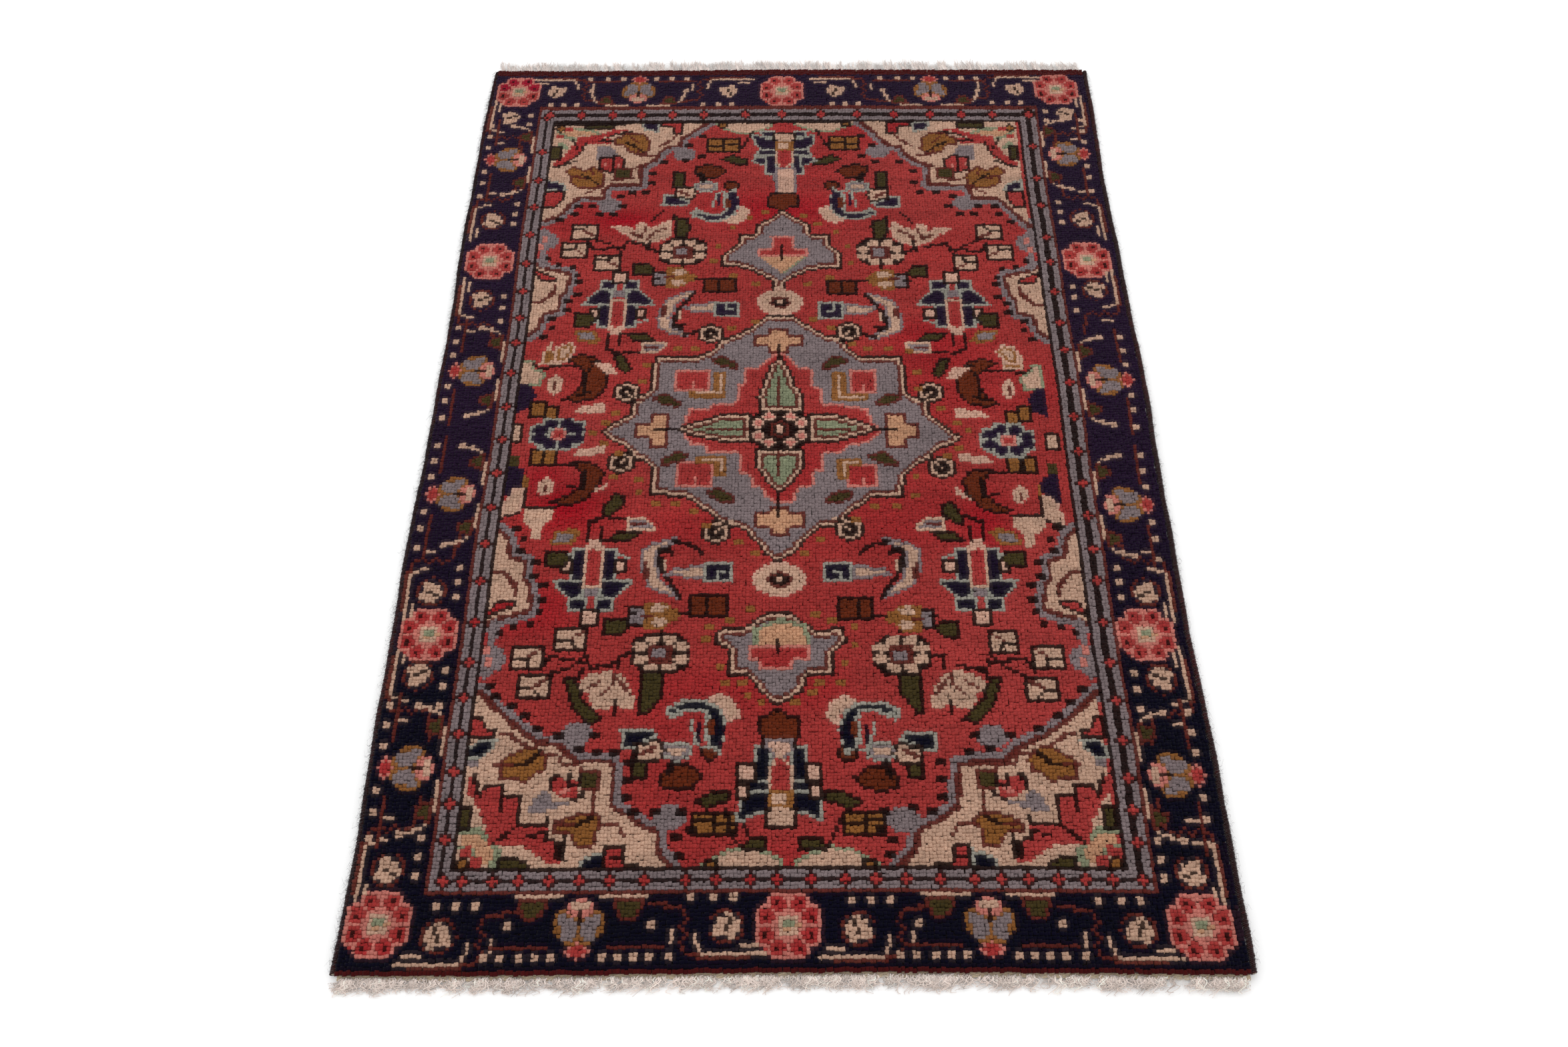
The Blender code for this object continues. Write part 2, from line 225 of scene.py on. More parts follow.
def palmette_garland(at):
    """What lies round a border palmette: two cream arms, dots along the outer edge, two olive leaves."""
    for side in (-1, 1):
        if len(at) > 4:
            hand = (at[0], at[1], at[2], at[3] * side, *at[4:])
        else:
            hand = (at[0], at[1], at[2] * side, at[3])
        if at[1] < NEAR_END:
            lines("c", ((17, -8), (5, -8)), at=hand)
            fill("bg", ((8.4, -7.4), (16.6, -7.4), (15.6, -3.2), (12.6, -0.8), (9.4, -3.2)), hand)
            dots("c", ((10.6, 7), (14.8, 7), (23.2, 7)), 2, 2, hand)
        else:
            lines("c", ((18, -2), (17, -6), (12, -9), (4, -9)), at=hand)
            fill("bg", ((8.6, -8.6), (15.6, -8.6), (14.8, -5.2), (11.4, -2.8)), hand)
            dots("c", ((12.5, 7),), 2, 2, hand)
        lines("b", ((8, 4.6), (22, 4.6)), at=hand)
        dots("c", ((6.6, 7), (19, 7), (18.5, -0.6)), 2, 2, hand)


# ---------------------------------------------------------------------------------------------
# Border rosettes: ten round flowers, one at each corner and at the middle and thirds of the
# sides. Pink ground with eight red petals round a pale eye; wool knots, flush with the border.
ROSETTES = {"rosette_left_1": (-107, -160), "rosette_left_3": (-106, -77), "rosette_left_6": (-106, 70),
            "rosette_left_8": (-106, 160), "rosette_right_1": (105, -161), "rosette_right_3": (104, -77),
            "rosette_right_6": (105, 71), "rosette_right_8": (104, 161), "rosette_near_middle": (-1, -161),
            "rosette_far_middle": (-3, 160)}
PETALS = ((-2.8, 5.8), (2.8, 5.8), (5.9, 2.4), (5.9, -2.4), (2.8, -5.8), (-2.8, -5.8), (-5.9, -2.4),
          (-5.9, 2.4))


def border_rosette(at, petal="r"):
    """Eight petals on a pink cross; the petals of the far half may be of another dye."""
    box("r", -6, -6, 6, 6, at)
    for across, along in PETALS:
        oval("p", across, along, 3.0, 2.9, at)
    for across, along in PETALS:
        oval("r" if along < 0 else petal, across, along, 2.1, 2.0, at)
    lines("p", ((0, -8), (0, 8)), ((-8, 0), (8, 0)), ((-5, -5), (5, 5)), ((-5, 5), (5, -5)), at=at)
    dots("k", PETALS, 1.2, 1.2, at)
    fill("pc", ((-3.6, -1.6), (-1.6, -3.6), (1.6, -3.6), (3.6, -1.6), (3.6, 1.6), (1.6, 3.6), (-1.6, 3.6),
                (-3.6, 1.6)), at)
    dots("m", ((0, 0.6),), 3, 2, at)
    dots("h", ((0, -1.4), (2.4, 0)), 2, 1, at)


for name, (u, v) in ROSETTES.items():
    border_rosette((u, v, 1, 1), "x" if name == "rosette_left_8" else "r")
    piece_of[(abs(column - u) < 10) & (abs(row - v) < 10)] = name

# ---------------------------------------------------------------------------------------------
# Border palmettes: twelve fan-shaped flowers between the rosettes, each pointing outward.
# Slate lobes with ochre edges under a small red flower, cream foot; wool, flush with the border.
PALMETTES = {"palmette_far_left": (-59, 161, 1, 1), "palmette_far_right": (55, 161, -1, 1),
             "palmette_near_left": (-55, -161, 1, -1), "palmette_near_right": (51, -161, -1, -1),
             "palmette_left_2": (-106, -118, -1, -1, "side"),
             "palmette_left_4": (-106, -28, -1, -1, "side"), "palmette_left_5": (-106, 21, -1, 1, "side"),
             "palmette_left_7": (-106, 122, -1, 1, "side"), "palmette_right_2": (105, -120, 1, -1, "side"),
             "palmette_right_4": (105, -32, 1, -1, "side"), "palmette_right_5": (105, 17, 1, 1, "side"),
             "palmette_right_7": (105, 125, 1, 1, "side")}


def border_palmette(at):
    fill("o", ((-6.6, -3.4), (-6.6, 0.4), (-4.4, 3.8), (-1.6, 4.8), (1.6, 4.8), (4.4, 3.8), (6.6, 0.4),
               (6.6, -3.4), (3.4, -5), (-3.4, -5)), at)
    for side in (-1, 1):
        oval("s", 2.6 * side, 0.8, 2.2, 3.2, at)
        oval("s", 4.4 * side, -2.2, 1.5, 1.4, at)
    fill("p", ((-4, -3.8), (0, -2), (4, -3.8), (3, -6.6), (0, -7.4), (-3, -6.6)), at)
    fill("c", ((-3, -4.4), (3, -4.4), (2, -6.2), (-2, -6.2)), at)
    lines("k", ((0, -1), (0, -4)), at=at)
    oval("p", 0, 6.0, 3.2, 2.1, at)
    oval("r", 0, 6.0, 2.1, 1.3, at)


for name, at in PALMETTES.items():
    palmette_garland(at)
    border_palmette(at)
    reach_across, reach_along = (9.4, 8.6) if len(at) > 4 else (9.6, 8.4)
    middle_u, middle_v = placed((0, 0.6), at)[0]
    piece_of[(abs(column - middle_u) < reach_across) & (abs(row - middle_v) < reach_along)] = name

# ---------------------------------------------------------------------------------------------
# Guard stripes: the narrow slate band between border and field, with a black line down its
# middle and small red crosses on the line, brown edges. Wool knots, flush with both.
GUARD_RINGS = (("b", -96.5, -152.5, 95.5, 151.5), ("s", -95.5, -151.5, 94.5, 149.5),
               ("k", -93.5, -149.5, 92.5, 147.5), ("s", -92.5, -148.5, 90.5, 145.5),
               ("k", -90.5, -146.5, 88.5, 143.5))
for dye, left, near, right, far in GUARD_RINGS:
    box(dye, left, near, right, far)
GUARDS_HALF_WIDTH = 96.6
GUARDS_HALF_OPENING = 89.5
from_axis = abs(column + 1)
guarded = (from_axis < GUARDS_HALF_WIDTH) & (row > BORDER_NEAR_EDGE) & (row < BORDER_FAR_EDGE)
piece_of[guarded & (column < 0)] = "guard_left"
piece_of[guarded & (column > 0)] = "guard_right"
piece_of[guarded & (row > 143) & (from_axis < GUARDS_HALF_OPENING)] = "guard_far"
piece_of[guarded & (row < -147) & (from_axis < GUARDS_HALF_OPENING)] = "guard_near"
CROSS_PLACES_LEFT = (145, 126, 111, 97, 83, 69, 56, 43.5, 33, 19.5, 5.5, -7, -19.5, -33, -46, -59, -73,
                     -85.5, -97, -108.5, -119, -128, -138)
CROSS_PLACES_RIGHT = (147.5, 129, 112.5, 98.5, 82.5, 69.5, 56.5, 42.5, 29.5, 16, 1.5, -11.5, -23.5, -36,
                      -48.5, -59, -73, -86, -98, -110.5, -121, -129.5, -139)
CROSS_PLACES_FAR = (-92.5, -80, -68.5, -57, -45, -33, -17, -3, 12, 26.5, 40.5, 54, 66.5, 78, 91.5)
CROSS_PLACES_NEAR = (-92.5, -87, -79, -71.5, -64, -56, -48, -39, -27.5, -19.5, -11, -3.5, 5, 14, 22, 30, 39,
                     48, 55, 62.5, 69.5, 77, 84, 91.5)


def guard_cross(across, along):
    knot("k", (abs(column - across) + abs(row - along)) <= 2.6)
    knot("r", (abs(column - across) + abs(row - along)) <= 1.6)


for v in CROSS_PLACES_LEFT:
    guard_cross(-93, round(v))
for v in CROSS_PLACES_RIGHT:
    guard_cross(92, round(v))
for u in CROSS_PLACES_FAR:
    guard_cross(round(u), 146.5)
for u in CROSS_PLACES_NEAR:
    guard_cross(round(u), -149)

# ---------------------------------------------------------------------------------------------
# Field pile: the red ground inside the guards, scattered with flowers, birds and leaves. Each
# motif is drawn once for one quarter and turned over for the others, a knot or two out.
FIELD = ((-89.5, -145.5), (87.5, -145.5), (87.5, 142.5), (-30, 141.6), (-89.5, 140.5))
guarded_ground = cartoon.copy()
fill("r", FIELD)
let_in("field_pile", FIELD)


def in_quarters(draw, right=(0, 0), other_end=(0, 0), far_right=None):
    """Draw a motif at home, over to the right, at the other end, and at the other end's right."""
    both = far_right or (right[0] + other_end[0], right[1] + other_end[1])
    draw((0, 0, 1, 1))
    draw((right[0], right[1], -1, 1))
    draw((other_end[0], other_end[1], 1, -1))
    draw((both[0], both[1], -1, -1))


def cloud_and_squares(at):
    fill("mc", ((-30, 143), (-29, 141), (-25, 138), (-20, 136), (-15, 135.4), (-11, 137), (-6, 139.5),
                (-6, 143)), at)
    oval("ko", -25.5, 140.7, 2.4, 1.9, at)
    box("ko", -31, 126, -18.5, 133.5, at)
    lines("k", ((-25, 127), (-25, 133)), ((-30, 129), (-20, 130)), ((-18.5, 128), (-14, 137)), at=at)


def brown_leaves(at):
    fill("kw", ((-35, 114), (-35.6, 118), (-31, 119.4), (-26, 118.6), (-23, 115), (-27, 111.4), (-33, 111)),
         at)
    fill("kg", ((-26, 122), (-22, 124.6), (-15, 121.6), (-15, 119), (-20, 118.4)), at)
    box("kg", -43, 107, -38, 115.4, at)
    oval("vsc", -31, 107.6, 4.8, 3, at)
    lines("k", ((-32, 111), (-33, 114)), wide=2, at=at)
    oval("kw", -21.5, 108, 2.9, 2.7, at)


def corner_bird(at):
    fill("vn", ((-47, 98), (-38, 97), (-36, 100), (-41, 102.4), (-46, 104)), at)
    fill("kc", ((-43, 102), (-36, 100.4), (-33.6, 104), (-36, 108), (-42, 107.4)), at)
    lines("b", ((-41, 105), (-37, 103)), at=at)


def hook(at):
    fill("v", ((-36, 94), (-34, 96.4), (-29, 93.8), (-25, 94), (-22.6, 98), (-24, 104), (-20, 107),
               (-18, 99), (-19.6, 93), (-24, 90), (-30, 90), (-35, 92)), at)
    fill("n", ((-35, 94), (-29, 92.8), (-24, 93), (-21.8, 97), (-22.6, 104), (-19.6, 105), (-18.6, 99),
               (-20.6, 93.8), (-25, 91), (-30, 91)), at)
    lines("n", ((-26, 98), (-26, 103)), wide=1.6, at=at)
    lines("v", ((-24, 97), (-24, 103)), ((-28, 97), (-27, 104), (-24, 105)), at=at)
    oval("w", -22.6, 98.6, 1.4, 2.6, at)
    fill("ic", ((-24, 90), (-20, 88), (-15.4, 91), (-14.6, 95.6), (-18, 97.6), (-19.6, 93)), at)


def round_rosette(at):
    fill("k", ((-46.5, 71), (-43, 68.6), (-33, 68.6), (-29.5, 72), (-29.5, 79), (-33, 81.6), (-42, 81.6),
               (-46.5, 78.6)), at)
    for across, along in ((-40.6, 79.4), (-35.6, 79.4), (-43.8, 76.8), (-32, 76.8), (-44, 73), (-32, 73),
                          (-40.6, 70.6), (-35.6, 70.6)):
        oval("c", across, along, 2.2, 1.6, at)
    box("b", -41.6, 72, -34.6, 78, at)
    box("s", -40, 73.5, -36, 76.8, at)
    lines("k", ((-38, 68), (-38, 60)), ((-46, 75), (-50.5, 76), (-50.5, 80)), at=at)


def square_buds(at):
    for left, low in ((-78.5, 81), (-81.5, 71.5), (-69, 66)):
        box("kc", left, low, left + 9.6, low + 8, at)
        lines("k", ((left + 1, low + 4.6), (left + 5, low + 4.6), (left + 6, low + 7)), at=at)
        lines("b", ((left + 5, low + 4), (left + 8.4, low + 1.8)), at=at)
    lines("k", ((-69, 80.5), (-64, 79), (-59.6, 75)), ((-72, 80), (-70, 76), (-60, 77)),
          ((-60, 74), (-58, 80), (-50, 78)), at=at)


def lotus(at):
    fill("ic", ((-65, 87.4), (-58, 87.4), (-56, 85.4), (-54.6, 90), (-52, 89), (-50, 86.6), (-47, 88),
                (-43.4, 91.6), (-42, 87), (-42.6, 83), (-46, 80), (-49, 79), (-53, 79), (-57, 81.6),
                (-60, 84)), at)
    lines("b", ((-57, 84), (-53, 82), (-52, 87)), ((-51, 81), (-48, 85), (-45, 86)), at=at)
    lines("k", ((-50, 90), (-48, 93), (-46, 95)), ((-51, 76), (-51, 78)), at=at)


def diagonal_leaf(at):
    fill("kg", ((-66, -90), (-62, -90.6), (-58.6, -98), (-53, -104), (-57, -105.4), (-62.6, -100)), at)


def tulip(at):
    fill("c", ((-61.6, -93), (-58, -90), (-53, -88.6), (-49, -89.6), (-46.4, -93), (-44.4, -98),
               (-45, -101), (-48, -100.6), (-50, -98), (-52, -100.6), (-56.4, -100.6), (-57.4, -97),
               (-60.6, -95.4)), at)
    lines("b", ((-58, -94), (-55, -92)), ((-54, -96), (-51, -93), (-51, -90)), ((-50, -91), (-46, -96)),
          at=at)
    lines("k", ((-50, -98), (-50, -102)), ((-60, -88), (-62, -92)), at=at)
    dots("r", ((-58.6, -96.4),), 2, 2, at)


def slate_bud(at):
    fill("kg", ((-55, 69.8), (-50, 69.8), (-47, 66), (-49, 63.4), (-55, 64)), at)
    box("ks", -48, 59, -42, 66, at)
    lines("k", ((-48, 62), (-46, 62)), at=at)
    fill("o", ((-43.4, 58), (-38, 58), (-32, 62.4), (-38, 67.4), (-43.4, 67.4)), at)
    oval("c", -39.4, 60.2, 2.6, 1.3, at)
    oval("c", -39, 65, 2.6, 1.4, at)
    lines("b", ((-44, 62.6), (-41, 62.6)), at=at)
    lines("k", ((-33, 62), (-29, 62)), at=at)
    box("kw", -30, 55.6, -18.5, 63, at)
    lines("k", ((-24.6, 56), (-24.6, 62.4)), at=at)


def field_palmette(at):
    for side in (-1, 1):
        hand = (at[0] - 59.4 * at[2], at[1], at[2] * side, at[3])
        box("vn", 1.8, 39.6, 7, 51.6, hand)
        fill("vn", ((13, 50), (9.4, 54.6), (6, 58), (1.8, 56), (1.8, 50)), hand)
        box("vn", 1, 56.6, 7.4, 61.6, hand)
        fill("kii", ((6, 43.4), (10.4, 43.4), (10.4, 48.6), (6, 48.6)), hand)
        lines("v", ((7, 42), (10, 43)), at=hand)
    box("ki", -62.6, 60, -56.4, 66, at)
    box("s", -61.4, 53.4, -57.4, 56.4, at)
    fill("cr", ((-62.4, 41), (-59.6, 38.6), (-56.6, 41), (-56.6, 53), (-62.4, 53)), at)
    fill("i", ((-63, 40.6), (-61.4, 36.6), (-57.6, 36.6), (-56, 40.6), (-59.5, 39.6)), at)
    lines("k", ((-62, 30), (-62, 37)), ((-58, 32), (-58, 37)), ((-61, 30), (-57, 28)),
          ((-56, 29), (-50, 29)), at=at)
    fill("kg", ((-74.6, 40), (-68.6, 40), (-66.4, 43), (-68, 46.4), (-74.6, 46.4)), at)
    fill("kg", ((-57, 37), (-49, 37.6), (-45.4, 34), (-53, 33.4)), at)
    fill("o", ((-74, 38.6), (-67, 38.6), (-64, 34), (-66, 32.4), (-72, 34)), at)
    fill("s", ((-72.6, 37.6), (-68, 37.6), (-65.4, 34), (-71, 34.8)), at)
    fill("cs", ((-50.5, 34), (-41, 33.6), (-42, 31), (-45, 28.5), (-50, 28.5)), at)
    lines("b", ((-49, 31), (-45, 31)), at=at)


def side_bird(at):
    fill("sc", ((-33, 57.4), (-39, 54.6), (-43, 52.6), (-45, 48), (-46, 44), (-45.4, 39.6), (-41, 37),
                (-34, 35), (-34, 37), (-40, 40), (-41, 44), (-40, 46), (-39.4, 50), (-37, 52), (-34, 54.6)),
         at)
    lines("b", ((-43.6, 49), (-44, 45)), wide=1.8, at=at)
    lines("k", ((-37, 39), (-40, 41), (-39, 47), (-37, 50), (-33, 56)), ((-40, 40), (-36, 41)),
          ((-36, 36.6), (-30, 38.4), (-27, 41)), wide=1.5, at=at)
    lines("c", ((-38, 44), (-38, 47)), at=at)


def waist_square(at):
    fill("sc", ((-38, 49.4), (-26, 51.4), (-25, 46), (-34, 46.6)), at)
    box("vn", -26, 44.4, -17, 52, at)
    lines("v", ((-22, 51), (-22, 48), (-20, 48)), at=at)


in_quarters(cloud_and_squares, (-4, 0.6), (4, -4.4), (-5, -4.4))
in_quarters(brown_leaves, (-6, 0), (-1, -5.6), (-6, -6))
in_quarters(corner_bird, (-6, -1), (-1, -9), (-6, -10))
in_quarters(hook, (-4, 0.4), (0, -7.4), (-5, -8))
lotus(HERE)
lotus((-6, -1, -1, 1))
fill("kg", ((-43, 95), (-40, 91.4), (-37, 91.4), (-35.6, 88), (-36.4, 81.6), (-41, 81.6), (-41.4, 88)))
fill("kg", ((36, 94), (34, 91), (30, 91), (29, 87), (29.6, 80.6), (34.6, 80.6), (35.6, 88)))
for at in (HERE, (-5, 0, -1, 1)):
    tulip(at)
    diagonal_leaf(at)
    fill("kg", ((-43, -87), (-36, -87), (-36, -96), (-40, -102), (-43, -102)), at)
in_quarters(round_rosette, (-6, -0.5), (0, -8), (-6, -8.5))
in_quarters(square_buds, (-2, -0.6), (0, -8.5), (-2, -9))
in_quarters(slate_bud, (-6.4, -1), (0, -8), (-5, -9))
in_quarters(field_palmette, (-3, 0), (0, -8), (-3, -8))
in_quarters(side_bird, (-7, -1), (0, -8.4), (-6, -8.4))
in_quarters(waist_square, (-7, -0.6), (0, -7.6), (-7, -7.6))


def side_middle(at):
    """Beyond the middle of a side: a brown crescent with its bud, a navy wedge, ochre stones."""
    fill("kw", ((-76, 26), (-70, 28.6), (-64.6, 26.6), (-61, 20), (-60.4, 14), (-63.4, 9.4), (-70, 7.6),
                (-75, 9), (-71, 12), (-69, 16), (-69, 21), (-72, 24)), at)
    lines("k", ((-66, 23), (-68, 20), (-68, 13)), ((-64, 25), (-67, 25)), ((-70, 11), (-66, 12)), at=at)
    fill("i", ((-66, 24.6), (-60, 24), (-57.6, 19.6), (-61, 19)), at)
    fill("ic", ((-80, 13), (-80, 17), (-78, 20), (-75.4, 17), (-75.4, 13), (-77.6, 10.6)), at)
    lines("b", ((-78, 13), (-78, 16)), at=at)
    fill("mc", ((-90, 26), (-86, 26), (-85, 22), (-81.6, 20.4), (-82.4, 15), (-90, 13)), at)
    lines("k", ((-86, 24), (-84, 22), (-77, 23), (-70, 23)), at=at)
    fill("n", ((-90, 16), (-85.6, 14.6), (-83.6, 11), (-85, 6), (-90, 3)), at)
    fill("co", ((-84, 24), (-83.4, 29), (-81, 33.4), (-80, 29.4), (-76, 29), (-76.4, 24)), at)
    for across, along in ((-82.4, 5), (-77.8, 3.6)):
        box("ko", across - 2.6, along - 3.6, across + 2.6, along + 3.2, at)
    fill("i", ((-71, 3), (-60, 4), (-60, 7.4), (-68, 6.6)), at)
    fill("kg", ((-60, 29), (-56, 28), (-52.6, 22), (-55, 19), (-58, 23)), at)


def near_side_middle(at):
    """The same on the near half of a side, as the weaver drew it there."""
    fill("kw", ((-75, -31), (-70, -33), (-64, -30.6), (-60, -25), (-58.6, -20), (-61, -17), (-65, -15),
                (-71, -15), (-68, -18), (-66.4, -21), (-66.4, -25), (-69, -28)), at)
    lines("k", ((-65, -19), (-65, -26), (-70, -25)), ((-68, -17), (-74, -17)), at=at)
    fill("i", ((-61, -26), (-57, -22.6), (-57, -25), (-61.6, -28)), at)
    fill("ic", ((-77, -21), (-79.6, -24), (-79, -27), (-77, -29), (-74.6, -27), (-74.6, -24)), at)
    lines("b", ((-77, -25), (-77, -27)), at=at)
    fill("n", ((-90, -17), (-85, -18.6), (-83, -22.6), (-84.6, -25.4), (-88, -29), (-90, -28)), at)
    fill("o", ((-84, -20), (-82, -22.4), (-83, -26), (-87, -26), (-88, -29), (-84, -28)), at)
    fill("ic", ((-87, -26), (-83, -25.4), (-83, -34), (-87, -36), (-90, -36), (-89.4, -32)), at)
    lines("k", ((-83, -26), (-83, -33), (-77, -33), (-68, -32)), ((-90, -37), (-84, -35)), at=at)
    dots("g", ((-88, -15),), 3, 4, at)
    for across, along in ((-80.6, -13.4), (-76.4, -13)):
        box("ko", across - 2.6, along - 4.4, across + 2.4, along + 3.2, at)
    fill("i", ((-70, -14), (-68, -11), (-59, -9.4), (-59, -12.6)), at)
    fill("kg", ((-55, -27), (-51.4, -29), (-52, -33), (-56, -36.4), (-59, -36.4), (-58, -32)), at)


side_middle(HERE)
side_middle((-6, -2, -1, 1))
near_side_middle(HERE)
near_side_middle((-5, -3, -1, 1))


def navy_rosette(at):
    fill("v", ((-79.6, 1.8), (-71, 1.8), (-70, 0.6), (-67, 0.4), (-66, -2), (-66, -8), (-68, -9.6),
               (-71, -11.4), (-80, -11.4), (-82, -9), (-84, -8), (-84, -1.6), (-81, -0.6)), at)
    for across, along in ((-77.4, -1), (-72.8, -0.6), (-81, -3.4), (-69, -2.6), (-81, -6.4), (-68.8, -6.6),
                          (-77.4, -8.8), (-72.6, -8.8)):
        oval("n", across, along, 2.1, 1.9, at)
    box("n", -83, -4.2, -78.6, -2.6, at)
    box("n", -83, -7.6, -78.6, -5.6, at)
    box("n", -72, -4.2, -67, -1.6, at)
    box("n", -72, -8, -67, -5.4, at)
    oval("pr", -75, -4.8, 2.8, 2.4, at)


navy_rosette(HERE)
navy_rosette((-5, -2.6, -1, 1))
box("kc", -90, -8, -86.4, -0.6)
box("kc", 82, -11.6, 87, -4)
fill("c", ((-82.4, -33), (-73, -33), (-73, -37), (-76, -39.6), (-77, -44.6), (-79, -44.6), (-80, -40),
           (-82, -38)))
fill("c", ((69, -36), (78, -36), (78.6, -40), (75, -43), (74, -47), (72, -47), (72, -43), (69, -40)))
fill("ioc", ((-79, 31), (-74, 33.6), (-72, 30), (-75, 24.6), (-80, 25)))
fill("ioc", ((76, 30), (71, 32.6), (69, 29), (72, 23.4), (77, 24)))


def torch(at):
    """A torch-shaped palmette on the long axis, with navy wings, a red flame and a cream foot."""
    for side in (-1, 1):
        hand = (at[0] - 3.2 * at[2], at[1], at[2] * side, at[3])
        box("vn", 2.4, -123.4, 7.6, -111.4, hand)
        fill("vn", ((2.4, -121.4), (11.4, -121), (9.4, -125.4), (2.4, -125.4)), hand)
        fill("vn", ((2.4, -124.4), (8, -124.6), (11.6, -128), (12, -134), (7.4, -132), (2.4, -131.6)), hand)
        if at[3] > 0:
            box("ki", 6.4, -122.6, 12, -116.6, hand)
            box("ki", 8, -127.6, 12, -122.4, hand)
        else:
            fill("vn", ((6, -115), (12.6, -119), (10, -122), (6, -121)), hand)
            fill("vn", ((2.4, -131.6), (8, -131), (9.4, -135.4), (4, -136)), hand)
    fill("si", ((-7, -109), (0.6, -109), (0.6, -112), (-1.6, -116), (-4.8, -116), (-7, -112)), at)
    fill("cr", ((-6.6, -118), (-3.4, -113.4), (0.4, -118), (0.4, -126), (-6.6, -126)), at)
    box("oo", -6.6, -129.6, 0.4, -124.6, at)
    box("c", -5, -128.6, -1.4, -125.6, at)
    box("kc", -7.6, -135, 1.6, -129.4, at)
    lines("c", ((-5, -130), (-1, -130)), at=at)


def brown_heart(at):
    fill("kw", ((-9.6, -103), (-7, -102.4), (-3.4, -99.6), (-0.6, -102.6), (3, -102.4), (3, -107.6),
                (1.6, -110.6), (-8, -110.6), (-9.6, -107)), at)


brown_heart(HERE)
torch(HERE)
lines("k", ((-8, -110), (-8, -112)), ((1, -110), (1, -112)))
torch((1, 2, 1, -1))
fill("si", ((-6, 104), (2, 104), (2.6, 118), (-5.6, 118)))
brown_heart((1, -6, 1, -1))
fill("kg", ((-14, -141.4), (-11.6, -137.4), (-6.6, -137.4), (-6, -141.4)))
fill("kg", ((1, -141.4), (2, -137.4), (8, -137.4), (10, -141.4)))
lines("k", ((-18, -130), (-16, -138), (-14, -140)))

# ---------------------------------------------------------------------------------------------
# Corner pieces: four stepped corners of cream ground with ochre leaves and a red branch,
# edged by a brown line and a slate band. Wool knots let into the corners of the field.
CORNER_FAR_LEFT = ((-89, 90), (-84, 92), (-81, 96.5), (-79, 100), (-77, 102), (-68, 101.5), (-68.5, 106),
                   (-66, 108.5), (-55, 108.5), (-55.5, 117.5), (-53, 119.5), (-50, 122), (-48.5, 126),
                   (-46, 128.5), (-41.5, 129.5), (-41, 133), (-37, 136.5), (-31, 142))
CORNER_FAR_RIGHT = ((87, 87), (83, 92), (79, 98), (76, 101.5), (67, 101.5), (66.5, 106), (65, 108),
                    (51.5, 108.5), (52, 117), (51, 119), (47, 121), (43, 125), (42, 128.5), (38, 129),
                    (35, 132), (31, 138), (27, 142))
CORNER_NEAR_LEFT = ((-89, -95), (-84, -100), (-78, -105), (-71, -110.5), (-65, -111), (-62, -114),
                    (-59.5, -116), (-50, -116), (-49, -118), (-49, -129), (-45, -131), (-40, -134.5),
                    (-36, -136), (-36, -141), (-32, -146))
CORNER_NEAR_RIGHT = ((87, -95), (82, -100), (76, -105), (70, -109), (63, -112), (59, -116), (46, -117),
                     (45, -129), (40, -133), (34, -136), (33, -141), (28, -146))


